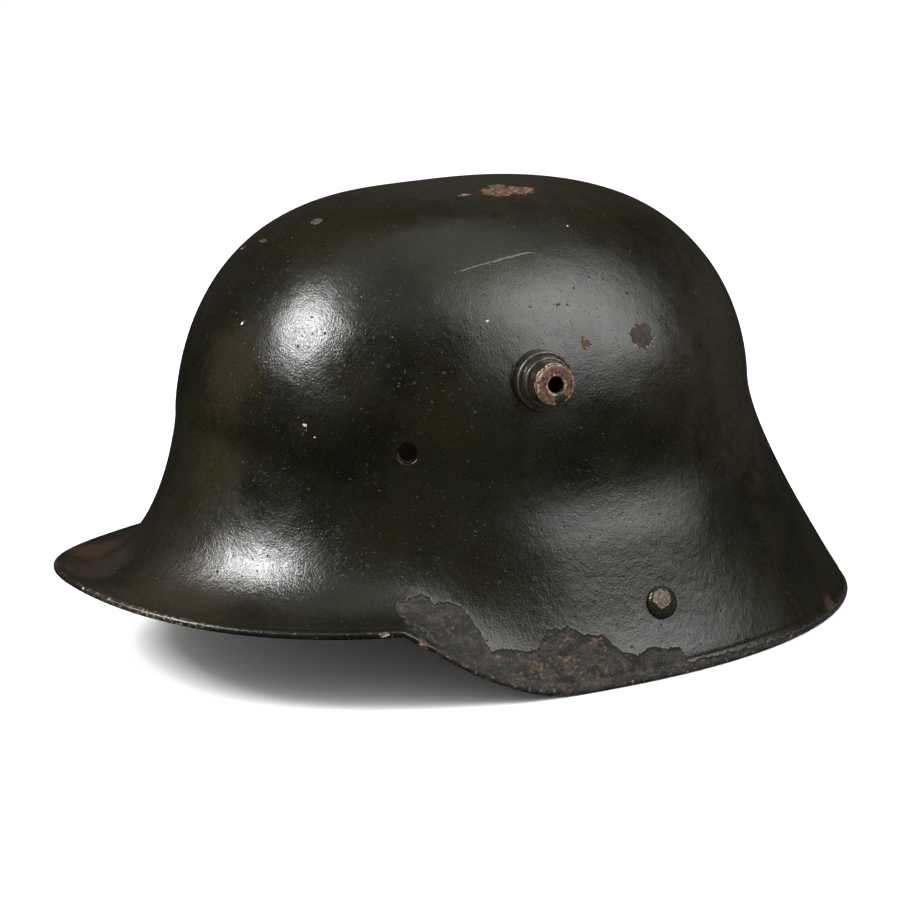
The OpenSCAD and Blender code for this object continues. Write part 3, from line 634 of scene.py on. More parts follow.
steel = tint(tree, ease(tree, streak, 0.38, 0.62), (0.0035, 0.003, 0.0017, 1), (0.019, 0.0145, 0.009, 1))
scale = ease(tree, cloud(tree, place, 0.25, 4.0, 0.65), 0.55, 0.7)
steel = tint(tree, scale, steel, (0.026, 0.017, 0.0105, 1))
metal = tint(tree, rusty, steel, rust)
metal = tint(tree, left_paint, metal, (0.0045, 0.0042, 0.0018, 1))
colour = tint(tree, gone_paint, colour, metal)
# Painted shadow in the crack, then the painted highlight on the paint's lip
colour = tint(tree, crack_and_shadow, colour, (0.002, 0.0018, 0.0015, 1))
colour = tint(tree, times(tree, lip, 0.5), colour, (0.05, 0.05, 0.04, 1))
colour = tint(tree, times(tree, worn_bead, 0.85), colour,
              tint(tree, hot, (0.05, 0.03, 0.017, 1), (0.2, 0.18, 0.13, 1)))
colour = tint(tree, times(tree, lines, 0.6), colour, (0.1, 0.097, 0.075, 1))
colour = tint(tree, times(tree, pits, 0.7), colour, (0.003, 0.0026, 0.002, 1))
# White flecks, and the chips' pale edges with their painted highlight on the lower side
colour = tint(tree, speck, colour, (0.3, 0.285, 0.23, 1))
shine = ease(tree, cloud(tree, place, 0.06, 4.0, 0.6), 0.3, 0.7, 0.2, 0.28)
shine = onto(tree, dusty, 0.12, shine)
dull = ease(tree, cloud(tree, place, 1.5, 3.0, 0.7), 0.5, 0.66)
dull = times(tree, dull, ease(tree, blotch, 0.35, 0.6))
shine = onto(tree, dull, 0.12, shine)
shine = onto(tree, low_down, 0.04, shine)
bare_shine = ease(tree, glint, 0.0, 1.0, 0.8, 0.48)
for share, rough in ((primer, 0.8), (gone_paint, bare_shine), (times(tree, rusty, gone_paint), 0.9),
                     (crack_and_shadow, 0.9), (pits, 0.8), (worn_bead, 0.45), (speck, 0.6)):
    shine = between(tree, share, shine, rough)
lay_finish(tree, colour, shine, height, IOR=1.5)

# Inside, a thin dull coat of the same paint with rust coming through
inner_paint, tree, place = start_finish("inner_paint")
rusty = ease(tree, cloud(tree, place, 0.05, 7.0, 0.72), 0.5, 0.68)
grain = cloud(tree, place, 0.9, 4.0, 0.65)
patches = ease(tree, cloud(tree, place, 0.03, 4.0), 0.4, 0.6)
colour = tint(tree, patches, (0.03, 0.03, 0.02, 1), (0.05, 0.047, 0.032, 1))
colour = tint(tree, times(tree, rusty, 0.6), colour,
              tint(tree, grain, (0.035, 0.018, 0.009, 1), (0.11, 0.055, 0.026, 1)))
height = onto(tree, rusty, 0.1, times(tree, grain, 0.12))
lay_finish(tree, colour, ease(tree, rusty, 0.0, 1.0, 0.5, 0.85), height)

mesh.materials.append(paint)
mesh.materials.append(inner_paint)
corner = np.zeros(len(mesh.loops), dtype=np.int32)
mesh.loops.foreach_get("vertex_index", corner)
start = np.zeros(len(mesh.polygons), dtype=np.int32)
mesh.polygons.foreach_get("loop_start", start)
lead = corner[start]
inner_face = (((lead >= first_inner) & (lead <= inner_crown))
              | ((lead > inner_crown) & (facing_out[lead] < 0.5)))
mesh.polygons.foreach_set("material_index", inner_face.astype(np.int32))
mesh.update()
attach(shell, "helmet")
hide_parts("shell")

# Vent lugs: hollow stepped steel lugs, turned, pushed through the shell and
# clenched inside. Each flange is shaped to the shell. Paint lies thick round the
# steps, and the tip is rubbed down to red primer.


def read_points(piece):
    spots = np.zeros(len(piece.data.vertices) * 3)
    piece.data.vertices.foreach_get("co", spots)
    return spots.reshape(-1, 3)


def write_points(piece, spots):
    piece.data.vertices.foreach_set("co", np.asarray(spots).ravel())
    piece.data.update()


def pick(piece=None):
    """Selects one piece, or nothing."""
    bpy.ops.object.select_all(action="DESELECT")
    if piece:
        bpy.context.view_layer.objects.active = piece
        piece.select_set(True)


def close_up(angle, doubles=0):
    """Merges the picked piece's doubles, turns its faces outwards and smooths it."""
    bpy.ops.object.mode_set(mode="EDIT")
    if doubles:
        bpy.ops.mesh.select_all(action="SELECT")
        bpy.ops.mesh.remove_doubles(threshold=doubles * mm)
    bpy.ops.mesh.select_all(action="SELECT")
    bpy.ops.mesh.normals_make_consistent(inside=False)
    bpy.ops.object.mode_set(mode="OBJECT")
    bpy.ops.object.shade_smooth_by_angle(angle=math.radians(angle))


def seat_on_shell(spots, heading):
    """Moves points along a heading until they lie on the shell's outer face."""
    for _ in range(8):
        a = np.degrees(np.arctan2(spots[:, 0], middle_y - spots[:, 1]))
        here, n = on_shell(a, spots[:, 2]), shell_normal(a, spots[:, 2])
        spots = spots + (np.sum((here - spots) * n, -1) / (n @ heading))[:, None] * heading
    return spots


def turn_on_lathe(name, profile, foot, heading, closed=False, segments=96, seated=(), sink=0.0):
    """Extrudes a circle ring by ring along a profile of radii and heights in
    millimetres, stands it on its foot, and seats the named rings on the shell."""
    pick()
    radius, level = profile[0]
    bpy.ops.mesh.primitive_circle_add(vertices=segments, radius=radius * mm, location=(0, 0, 0))
    made = bpy.context.object
    made.name = name
    bpy.ops.object.mode_set(mode="EDIT")
    bpy.ops.mesh.select_all(action="SELECT")
    bpy.ops.transform.translate(value=(0, 0, level * mm))
    if not closed:
        bpy.ops.mesh.edge_face_add()
        bpy.ops.mesh.select_all(action="SELECT")
    for wider, higher in profile[1:]:
        bpy.ops.mesh.extrude_region_move(TRANSFORM_OT_translate={"value": (0, 0, (higher - level) * mm)})
        bpy.ops.transform.resize(value=(wider / radius, wider / radius, 1),
                                 center_override=(0, 0, higher * mm))
        radius, level = wider, higher
    close_up(38, 0.002)
    spots = read_points(made) / mm
    heading = np.asarray(heading, float)
    side = np.cross([0, 0, 1], heading)
    side /= np.linalg.norm(side)
    over = np.cross(heading, side)
    stood = foot + spots[:, :1] * side + spots[:, 1:2] * over + spots[:, 2:] * heading
    for ring_r, ring_z in seated:
        from_ring = np.abs(np.hypot(spots[:, 0], spots[:, 1]) - ring_r)
        these = (from_ring < 0.01) & (np.abs(spots[:, 2] - ring_z) < 0.01)
        stood[these] = seat_on_shell(stood[these], heading) - sink * heading
    write_points(made, stood * mm)
    return made


def mirrored(piece, name):
    """A copy of a piece for the wearer's right, with its own mesh."""
    made = bpy.data.objects.new(name, piece.data.copy())
    bpy.context.collection.objects.link(made)
    write_points(made, read_points(made) * (-1, 1, 1))
    made.data.flip_normals()
    made.data.update()
    return made


def rounded(corner_r, corner_z, radius, turns=(0, 22, 45, 68, 90)):
    """Points round an outer corner between a wall and a face above it."""
    return [(corner_r - radius * (1 - math.cos(t)), corner_z - radius * (1 - math.sin(t)))
            for t in np.radians(turns)]


def fold_over(tree, place):
    """The same place on the wearer's left, for a finish that both sides share."""
    split = wire(tree, "ShaderNodeSeparateXYZ", {0: place})
    left_x = reckon(tree, "ABSOLUTE", split[0])
    return wire(tree, "ShaderNodeCombineXYZ", {0: left_x, 1: split[1], 2: split[2]})[0]


lug_bore_r = 3.25
lug_shank_r = 5.0
lug_collar_r = 6.4
lug_flange_r = 10.7
lug_step_r = 8.9
lug_barrel_r = 7.4
lug_tip_round = 1.8
lug_low = -5.3
lug_flange_h = 3.3
lug_step_top = 6.3
lug_top = 13.15
lug_lift = math.radians(1.8)
lug_foot = on_shell(*lug_at)
lug_out = shell_normal(*lug_at)
lug_out = np.array([lug_out[0], lug_out[1], 0]) / np.hypot(lug_out[0], lug_out[1])
lug_out = lug_out * math.cos(lug_lift) + np.array([0, 0, math.sin(lug_lift)])
lug_profile = ([(lug_bore_r, lug_low), (6.1, lug_low), (lug_collar_r, -5.0), (lug_collar_r, -4.35),
                (lug_shank_r, -4.3), (lug_shank_r, -0.9), (lug_flange_r, -0.9), (10.72, 0.2)]
               + rounded(lug_flange_r, lug_flange_h, 0.75)
               + [(9.5, lug_flange_h), (9.05, 3.42), (lug_step_r, 3.75)]
               + rounded(lug_step_r, lug_step_top, 0.65)
               + [(7.85, lug_step_top), (7.5, 6.42), (lug_barrel_r, 6.8), (lug_barrel_r, 9.0)]
               + rounded(lug_barrel_r, lug_top, lug_tip_round, (0, 12, 24, 36, 48, 60, 72, 82, 90))
               + [(4.4, 13.12), (3.7, 13.03), (3.2, 12.8), (2.95, 12.45), (2.85, 12.0), (2.9, 11.2),
                  (lug_bore_r, 10.2), (lug_bore_r, 4.0), (lug_bore_r, lug_low)])
lug_paint, tree, place = start_finish("lug_paint")
folded = fold_over(tree, place)
off = steer(tree, "SUBTRACT", folded, tuple(lug_foot))
out_by = steer(tree, "DOT_PRODUCT", off, tuple(lug_out))
along_axis = scaled(tree, tuple(lug_out), out_by)
off_axis = steer(tree, "SUBTRACT", off, along_axis)
from_axis = steer(tree, "LENGTH", off_axis)
torn = reckon(tree, "SUBTRACT", cloud(tree, place, 0.6, 5.0, 0.65), 0.5)
up_barrel = onto(tree, torn, 5.0, out_by)
tip = ease(tree, up_barrel, 10.9, 11.2)
tip_edge = times(tree, tip, ease(tree, up_barrel, 11.6, 11.4))
edges = 0.0
for ring_r, ring_z in ((10.5, 3.1), (8.7, 6.1), (6.9, 12.7), (3.5, 12.9)):
    near = wire(tree, "ShaderNodeCombineXYZ", {0: reckon(tree, "SUBTRACT", from_axis, ring_r),
                                               1: reckon(tree, "SUBTRACT", out_by, ring_z), 2: 0.0})[0]
    near = steer(tree, "LENGTH", near)
    edges = most(tree, edges, ease(tree, onto(tree, torn, 2.6, near), 0.5, 0.1))
lumps = cloud(tree, place, 0.35, 3.0, 0.55)
olive = tint(tree, cloud(tree, place, 0.25, 4.0, 0.6), (0.005, 0.0048, 0.002, 1), (0.016, 0.015, 0.0085, 1))
# The steps' pale worn edges are real, but paler towards the top: a painted highlight from above.
lit_upper_side = ease(tree, wire(tree, "ShaderNodeSeparateXYZ", {0: off_axis})[2], -3.0, 6.0, 0.08, 0.4)
colour = tint(tree, times(tree, edges, lit_upper_side), olive, (0.12, 0.1, 0.07, 1))
grain = ease(tree, cloud(tree, place, 1.1, 4.0, 0.7), 0.38, 0.66)
red = tint(tree, grain, (0.018, 0.0055, 0.0035, 1), (0.12, 0.044, 0.026, 1))
colour = tint(tree, tip, colour, red)
cream = ease(tree, cloud(tree, place, 0.9, 4.0, 0.6), 0.45, 0.53)
colour = tint(tree, times(tree, tip_edge, cream), colour, (0.42, 0.37, 0.27, 1))
tip_ring = times(tree, times(tree, tip, edges), cream)
colour = tint(tree, tip_ring, colour, (0.2, 0.16, 0.11, 1))
left = steer(tree, "DISTANCE", off_axis, (0.5, 1.2, -5.0))
left = ease(tree, onto(tree, torn, 4.0, left), 2.2, 1.9)
colour = tint(tree, left, colour, (0.006, 0.0057, 0.0022, 1))
bore = times(tree, ease(tree, from_axis, 3.4, 3.2), ease(tree, out_by, 12.6, 12.1))
colour = tint(tree, bore, colour, (0.012, 0.01, 0.007, 1))
height = times(tree, lumps, 0.35)
height = onto(tree, grain, onto(tree, tip, 0.07, 0.02), height)
height = onto(tree, tip, -0.15, height)
lay_finish(tree, colour, between(tree, tip, 0.26, 0.42), height)
left_lug = turn_on_lathe("left_lug", lug_profile, lug_foot, lug_out, closed=True,
                         seated=((lug_shank_r, -0.9), (lug_flange_r, -0.9), (10.72, 0.2)), sink=0.05)
left_lug.data.materials.append(lug_paint)
right_lug = mirrored(left_lug, "right_lug")
for piece, node in ((left_lug, "left_vent_lug"), (right_lug, "right_vent_lug")):
    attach(piece, "helmet")
    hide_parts(node)

# Strap rivets: domed steel rivets, hammered over and painted with the shell. The
# paint has chipped off the top of each head.
rivet_head_r = 5.9
rivet_r = 2.5
rivet_foot = on_shell(*strap_at)
rivet_out = shell_normal(*strap_at)
dome = [(rivet_head_r * math.cos(t), 0.55 + 2.65 * math.sin(t))
        for t in np.radians((0, 9, 18, 28, 38, 48, 58, 67, 76, 84, 88.5))]
rivet_profile = [(rivet_r, -6.2), (rivet_r, -0.4), (5.75, -0.4), (5.98, -0.1), (5.98, 0.3)] + dome
rivet_paint, tree, place = start_finish("rivet_paint")
folded = fold_over(tree, place)
torn = steer(tree, "SUBTRACT", drift(tree, place, 0.45, 4.0, 0.6), (0.5, 0.5, 0.5))
chip_at = tuple(rivet_foot + 2.8 * rivet_out + [0, -1.6, 1.0])
made = place_group(tree, chip_group, {"Place": folded, "Ragged": torn, "Centre": chip_at,
                                      "Radius": 2.9, "Edge": 0.1})
olive = tint(tree, cloud(tree, place, 0.4, 4.0, 0.6), (0.005, 0.0048, 0.002, 1), (0.013, 0.0125, 0.007, 1))
grain = ease(tree, cloud(tree, place, 1.2, 4.0, 0.7), 0.4, 0.62)
rust = tint(tree, grain, (0.028, 0.014, 0.01, 1), (0.09, 0.052, 0.036, 1))
colour = tint(tree, made["Bare"], olive, rust)
colour = tint(tree, made["Edge"], colour, (0.3, 0.27, 0.18, 1))
height = times(tree, cloud(tree, place, 0.45, 3.0, 0.55), 0.5)
height = onto(tree, made["Bare"], -0.14, height)
lay_finish(tree, colour, between(tree, made["Bare"], 0.25, 0.6), height)
left_rivet = turn_on_lathe("left_rivet", rivet_profile, rivet_foot, rivet_out,
                           seated=((rivet_r, -0.4), (5.75, -0.4), (5.98, -0.1)), sink=0.02)
left_rivet.data.materials.append(rivet_paint)
right_rivet = mirrored(left_rivet, "right_rivet")
for piece, node in ((left_rivet, "left_strap_rivet"), (right_rivet, "right_strap_rivet")):
    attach(piece, "helmet")
    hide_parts(node)

# Liner pins: split steel pins with low heads, painted over outside. The left front
# one is lost. They keep their drawn shapes, and so do the washers, the strap lugs, the
# hooks and the buckles, which are dull darkened steel with a little rust.


def dress(node, finish):
    """Gives a drawn piece its finish."""
    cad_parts[node].data.materials.clear()
    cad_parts[node].data.materials.append(finish)


steel, tree, place = start_finish("dull_steel")
grain = cloud(tree, place, 1.5, 4.0, 0.6)
rusty = ease(tree, cloud(tree, place, 0.3, 5.0, 0.65), 0.52, 0.64)
colour = tint(tree, grain, (0.09, 0.082, 0.07, 1), (0.2, 0.19, 0.165, 1))
colour = tint(tree, rusty, colour, tint(tree, grain, (0.07, 0.028, 0.012, 1), (0.22, 0.1, 0.04, 1)))
height = onto(tree, rusty, 0.05, times(tree, grain, 0.05))
lay_finish(tree, colour, ease(tree, rusty, 0.0, 1.0, 0.42, 0.85), height,
           Metallic=ease(tree, rusty, 0.0, 1.0, 0.9, 0.1))
for node in ("left_lug_washer", "right_lug_washer", "left_strap_lug", "right_strap_lug", "right_pin_washer",
             "rear_pin_washer", "left_strap_hook", "right_strap_hook", "left_buckle", "right_buckle"):
    dress(node, steel)
for node in ("right_liner_pin", "rear_liner_pin"):
    dress(node, rivet_paint)

# Liner band: a strip of thick sole leather, riveted into a hoop and hung on the
# liner pins. It keeps its drawn shape. The pads are of the same leather, thinner.


def cell_walls(tree, place, scale, width):
    """Thin lines between the cells of a cell pattern."""
    walls = wire(tree, "ShaderNodeTexVoronoi", {"Vector": place, "Scale": scale},
                 feature="DISTANCE_TO_EDGE")
    return ease(tree, walls["Distance"], width, 0.0)


leather, tree, place = start_finish("liner_leather")
bent = steer(tree, "ADD", place, scaled(tree, drift(tree, place, 0.12, 2.0), 9.0))
pores = wire(tree, "ShaderNodeTexVoronoi", {"Vector": bent, "Scale": 0.85}, feature="SMOOTH_F1")["Distance"]
folds = reckon(tree, "ABSOLUTE", reckon(tree, "SUBTRACT", cloud(tree, bent, 0.06, 4.0, 0.55), 0.5))
folds = times(tree, ease(tree, folds, 0.014, 0.0), ease(tree, cloud(tree, place, 0.045, 2.0), 0.4, 0.6))
cells = ease(tree, cloud(tree, place, 0.07, 3.0), 0.5, 0.65)
cells = times(tree, cell_walls(tree, bent, 0.5, 0.1), cells)
worn = ease(tree, cloud(tree, place, 0.035, 6.0, 0.65), 0.38, 0.66)
blotch = cloud(tree, place, 0.012, 5.0, 0.6)
high = ease(tree, wire(tree, "ShaderNodeSeparateXYZ", {0: place})[2], 72.0, 100.0)
colour = tint(tree, worn, (0.085, 0.032, 0.012, 1), (0.235, 0.11, 0.045, 1))
colour = tint(tree, ease(tree, blotch, 0.45, 0.62), colour, (0.055, 0.022, 0.01, 1))
creased = times(tree, most(tree, folds, times(tree, cells, 0.5)), 0.5)
colour = tint(tree, creased, colour, (0.035, 0.014, 0.007, 1))
colour = tint(tree, onto(tree, high, -0.5, 0.5), colour, (0.028, 0.013, 0.008, 1))
height = onto(tree, pores, 0.18, times(tree, folds, -0.3))
height = onto(tree, cells, -0.1, height)
height = onto(tree, cloud(tree, place, 0.3, 4.0, 0.6), 0.35, height)
lay_finish(tree, colour, ease(tree, worn, 0.0, 1.0, 0.42, 0.68), height)
dress("liner_band", leather)

# Linen: coarse undyed tabby, gone yellow, used for the cushions, the lace and the
# thread. Its yarns are two sets of waves that cross, one upright and one level.
linen, tree, place = start_finish("linen")
yarn = steer(tree, "ADD", place, scaled(tree, drift(tree, place, 0.5, 3.0), 0.8))
split = wire(tree, "ShaderNodeSeparateXYZ", {0: yarn})
level = reckon(tree, "ADD", split[0], split[1])
warp = reckon(tree, "SINE", times(tree, level, 5.2))
weft = reckon(tree, "SINE", times(tree, split[2], 6.4))
weave = times(tree, warp, weft)
stain = ease(tree, cloud(tree, place, 0.03, 5.0, 0.6), 0.42, 0.62)
colour = tint(tree, stain, (0.43, 0.33, 0.19, 1), (0.24, 0.165, 0.085, 1))
# The weave's hollows are darkened: painted shade between the yarns.
colour = tint(tree, ease(tree, weave, 0.2, -0.9, 0.0, 0.5), colour, (0.13, 0.09, 0.05, 1))
height = onto(tree, weave, 0.09, cloud(tree, place, 1.2, 3.0))
lay_finish(tree, colour, 0.88, height, strength=0.8)

# Pads: thin leather, sewn to the band at the foot. Each has two tongues that lean in
# to the crown, with a hole for the lace, and is puffed out by the cushion behind it.
band_z = 76
band_w = 22
band_t = 1.6
band_gap = 0.8
soft_gap = 0.3
pad_z = 72
pad_lean_z = 82
pad_dome_h = 64
pad_t = 1.6
tongue_tip = 24
tongue_root = 62
tongue_turn = 30
foot_share = 0.1
stitch_step = 2.3
stitch_size = (1.35, 0.42, 0.42)
lace_u = 30
lace_hole_r = 3.2
front_pad_half = 44
side_pad_mid = 115.75
side_pad_half = 57.25


def pad_foot_r(a):
    """Radius of the pads' backs, inside the band, at an angle."""
    ring = on_shell(a, band_z + band_w) - [0, middle_y, 0]
    return np.hypot(ring[..., 0], ring[..., 1]) - wall - band_gap - band_t - soft_gap


def pad_rz(a, u):
    """Radius and height on the pads' dome, from the crown at 0 to its foot at 90."""
    return pad_foot_r(a) * np.sin(np.radians(u)), pad_lean_z + pad_dome_h * np.cos(np.radians(u))


def dome_out_rz(a, u):
    """The heading out of the pads' dome, as radius and height."""
    r = pad_dome_h * np.sin(np.radians(u))
    z = pad_foot_r(a) * np.cos(np.radians(u))
    return r / np.hypot(r, z), z / np.hypot(r, z)


def pad_angle(x, s, mid, half, crown_mid):
    """Angle on a pad, which widens to 60 degrees either way towards the crown."""
    return mid + (crown_mid - mid) * s * s + x * (half + (60 - half) * s * s)


def apply_all(piece):
    pick(piece)
    for modifier in list(piece.modifiers):
        bpy.ops.object.modifier_apply(modifier=modifier.name)


def stitch_line(name, spots, headings, outs, size, thread):
    """Sewn stitches: a small bead of thread at each point, lying along its heading."""
    pick()
    bpy.ops.mesh.primitive_uv_sphere_add(segments=8, ring_count=6, radius=1)
    bead_shape = bpy.context.object
    ball = read_points(bead_shape)
    ball_faces = [tuple(p.vertices) for p in bead_shape.data.polygons]
    bpy.data.objects.remove(bead_shape)
    all_points, all_faces = [], []
    for spot, heading, out in zip(spots, headings, outs):
        heading = heading / np.linalg.norm(heading)
        side = np.cross(out, heading)
        side /= np.linalg.norm(side)
        start = len(all_points) * len(ball)
        arch = ball[:, 2:3] * size[2] - 0.5 * size[2] * ball[:, :1] ** 2
        lain = spot + ball[:, :1] * size[0] * heading + ball[:, 1:2] * size[1] * side
        all_points.append(lain + arch * out)
        all_faces += [tuple(start + v for v in face) for face in ball_faces]
    made = build(name, np.concatenate(all_points), all_faces)
    made.data.polygons.foreach_set("use_smooth", [True] * len(made.data.polygons))
    made.data.materials.append(thread)
    return made


def make_pad(name, mid, half, crown_mid, seed):
    """A grid bent to the pad's shape, given its thickness, its holes and its stitches."""
    pick()
    bpy.ops.mesh.primitive_grid_add(x_subdivisions=120, y_subdivisions=70, size=2)
    made = bpy.context.object
    made.name = name
    flat = read_points(made)
    x = flat[:, 0]
    row = (flat[:, 1] + 1) / 2
    tip = tongue_tip + (tongue_root - tongue_tip) * (np.abs(np.abs(x) - 0.5) / 0.5) ** 4
    foot = row < foot_share
    up = np.where(foot, 0, (row - foot_share) / (1 - foot_share))
    u = 90 + (tip - 90) * up
    a = pad_angle(x, (90 - u) / 90, mid, half, crown_mid)
    r, z = pad_rz(a, u)
    z = np.where(foot, pad_z + (pad_lean_z - pad_z) * row / foot_share, z)
    out_r, out_z = dome_out_rz(a, u)
    out_r, out_z = np.where(foot, 1, out_r), np.where(foot, 0, out_z)
    arc = np.radians(a) * 95
    rise = np.where(foot, z, pad_lean_z + (90 - u) * 1.6)
    fold = np.random.default_rng(seed)
    crease = np.zeros(len(x))
    for size, depth in ((46, 0.22), (27, 0.2), (15, 0.13), (9, 0.07)):
        for _ in range(5):
            turn = fold.uniform(-0.9, 0.9)
            crease += depth * 0.5 * np.sin((arc * math.cos(turn) + rise * math.sin(turn)) * 2 * np.pi / size
                                           + fold.uniform(0, 2 * np.pi))
    plump = np.clip(np.sin(np.pi * np.clip((row - foot_share) / 0.62, 0, 1)), 0, 1) * (1 - x ** 6)
    pull = np.exp(-((row - 0.07) / 0.05) ** 2) * 0.35 * np.sin(arc * 2 * np.pi / 4.2)
    sink = 0.2 + crease * np.clip(row * 6, 0, 1) * 0.6 - pull + 1.1 * plump
    sink = np.clip(sink, 0.05, 2.6)
    back = in_space(a, r - out_r * sink, z - out_z * sink)
    write_points(made, back * mm)
    for title, setting in (("thickness", "SOLIDIFY"), ("edge", "BEVEL")):
        made.modifiers.new(title, setting)
    made.modifiers["thickness"].thickness = 1.35 * mm
    made.modifiers["thickness"].offset = 1.0
    made.modifiers["edge"].width = 0.45 * mm
    made.modifiers["edge"].segments = 3
    made.modifiers["edge"].limit_method = "ANGLE"
    middle = made.data.vertices[len(made.data.vertices) // 2]
    if np.dot(middle.normal, back.mean(0) - [0, middle_y, 90]) > 0:
        made.data.flip_normals()
    apply_all(made)
    for tongue in (crown_mid - tongue_turn, crown_mid + tongue_turn):
        out_r, out_z = dome_out_rz(tongue, lace_u)
        r, z = pad_rz(tongue, lace_u)
        hub = in_space(tongue, r - 0.8 * out_r, z - 0.8 * out_z)
        heading = in_space(tongue, out_r, out_z) - [0, middle_y, 0]
        pick()
        upright = Vector(heading).to_track_quat("Z", "Y").to_euler()
        bpy.ops.mesh.primitive_cylinder_add(vertices=40, radius=lace_hole_r * mm, depth=12 * mm,
                                            location=hub * mm, rotation=upright)
        cutter = bpy.context.object
        hole = made.modifiers.new("hole", "BOOLEAN")
        hole.object = cutter
        hole.solver = "EXACT"
        apply_all(made)
        bpy.data.objects.remove(cutter)
    pick(made)
    bpy.ops.object.shade_smooth_by_angle(angle=math.radians(40))
    made.data.materials.clear()
    made.data.materials.append(leather)
    a = np.arange(mid - half + 1.5, mid + half - 1.4, stitch_step)
    spots = in_space(a, pad_foot_r(a) - 1.75, np.full(len(a), pad_z + 3.2))
    outs = np.stack([-np.sin(np.radians(a)), np.cos(np.radians(a)), 0 * a], -1)
    threads = stitch_line(name + "_thread", spots, np.cross(outs, [0, 0, 1]), outs, stitch_size, linen)
    return made, threads


pads = (("front_", 0, front_pad_half, 0), ("left_", side_pad_mid, side_pad_half, 120),
        ("right_", -side_pad_mid, side_pad_half, -120))
for seed, (side, mid, half, crown_mid) in enumerate(pads):
    node = side + "pad"
    piece, threads = make_pad("leather_" + node, mid, half, crown_mid, seed + 3)
    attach(piece, "helmet")
    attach(threads, "helmet")
    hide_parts(node)

# Cushions: flat linen bags of horsehair, quilted in two rows, that lie between the
# pads and the shell. Each is two layers of a grid, merged along their edges.
cushion_mid_u = 64
cushion_half_u = 16
cushion_half = 0.86
cushion_fill = 0.28
cushion_gap = 0.6
for side, mid, half, crown_mid in pads:
    node = side + "cushion"
    pick()
    bpy.ops.mesh.primitive_grid_add(x_subdivisions=90, y_subdivisions=30, size=2)
    piece = bpy.context.object
    piece.name = "linen_" + node
    bpy.ops.object.mode_set(mode="EDIT")
    bpy.ops.mesh.select_all(action="SELECT")
    bpy.ops.mesh.duplicate_move(TRANSFORM_OT_translate={"value": (0, 0, 1)})
    bpy.ops.object.mode_set(mode="OBJECT")
    flat = read_points(piece)
    x, s = flat[:, 0], flat[:, 1]
    u = cushion_mid_u - cushion_half_u * s
    a = pad_angle(cushion_half * x, (90 - u) / 90, mid, half, crown_mid)
    near_r, near_z = pad_rz(a, u)
    near_r = near_r + cushion_gap
    spots = on_shell(a, near_z) - [0, middle_y, 0]
    gap = np.hypot(spots[:, 0], spots[:, 1]) - wall - near_r
    full = (1 - x ** 4) * (1 - s ** 4)
    seams = np.exp(-((np.abs(s) - 0.45) / 0.12) ** 2)
    quilt = 1 - 0.5 * np.exp(-(np.sin(x * math.pi * 4) / 0.22) ** 2) * seams
    share = np.where(flat[:, 2] > 0.5, cushion_fill * full * quilt, 0.02 * full)
    write_points(piece, in_space(a, near_r + share * gap, near_z) * mm)
    close_up(60, 0.01)
    piece.data.materials.append(linen)
    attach(piece, "helmet")
    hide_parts(node)


def sweep(name, path, sides, ups, section, closed=True):
    """Carries a section along a path; the section is rows of side and up offsets, one
    row for all of the path or one for each of its points."""
    section = np.broadcast_to(section, (len(path),) + np.asarray(section).shape[-2:])
    rings = path[:, None] + section[:, :, :1] * sides[:, None] + section[:, :, 1:] * ups[:, None]
    n, m = rings.shape[:2]
    made_faces = []
    for i in range(n if closed else n - 1):
        for k in range(m):
            j, l = (i + 1) % n, (k + 1) % m
            made_faces.append((i * m + k, i * m + l, j * m + l, j * m + k))
    if not closed:
        made_faces.append(tuple(range(m - 1, -1, -1)))
        made_faces.append(tuple(range((n - 1) * m, n * m)))
    made = build(name, rings.reshape(-1, 3), made_faces)
    pick(made)
    close_up(50)
    return made


# Lace: a three-strand linen cord that draws the pads' six tongues together. It is laced
# in and out through their holes and closed on itself.
lace_r = 1.12
lace_swing = 3.2
lace_strands = 3
lace_turns = 52
turns = [tongue + d for tongue in range(tongue_turn, 331, 60)
         for d in (-24, -15, -8, -4, -1.5, 0, 1.5, 4, 8, 15, 24)]
turns = np.array(turns, float)
wave = -np.sin(np.radians(6 * (turns - tongue_turn)))
swing = lace_swing * np.sign(wave) * np.abs(wave) ** 0.3
out_r, out_z = dome_out_rz(turns, np.full(len(turns), lace_u))
r, z = pad_rz(turns, np.full(len(turns), lace_u))
knots = in_space(turns, r + (swing - pad_t / 2) * out_r, z + (swing - pad_t / 2) * out_z)
run = np.concatenate([[0], np.cumsum(np.linalg.norm(np.roll(knots, -1, 0) - knots, axis=1))])
even = np.linspace(0, run[-1], 521)[:-1]
path = np.stack([np.interp(even, run, np.append(knots[:, i], knots[0, i])) for i in range(3)], -1)
for _ in range(6):
    path = (np.roll(path, 1, 0) + 2 * path + np.roll(path, -1, 0)) / 4
ahead = np.roll(path, -1, 0) - np.roll(path, 1, 0)
ahead /= np.linalg.norm(ahead, axis=1, keepdims=True)
sides = np.cross(ahead, [0, 0, 1])
sides /= np.linalg.norm(sides, axis=1, keepdims=True)
ups = np.cross(sides, ahead)
t = np.radians(np.arange(0, 360, 15))
twist = np.linspace(0, 2 * np.pi * lace_turns, len(path), endpoint=False)[:, None]
strands = np.abs(np.cos(lace_strands / 2 * (t[None] - twist))) ** 0.7
radius = lace_r * (0.86 + 0.14 * strands)
lace = sweep("linen_lace", path, sides, ups, np.stack([radius * np.cos(t), radius * np.sin(t)], -1))
lace.data.materials.append(linen)
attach(lace, "helmet")
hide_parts("liner_lace")

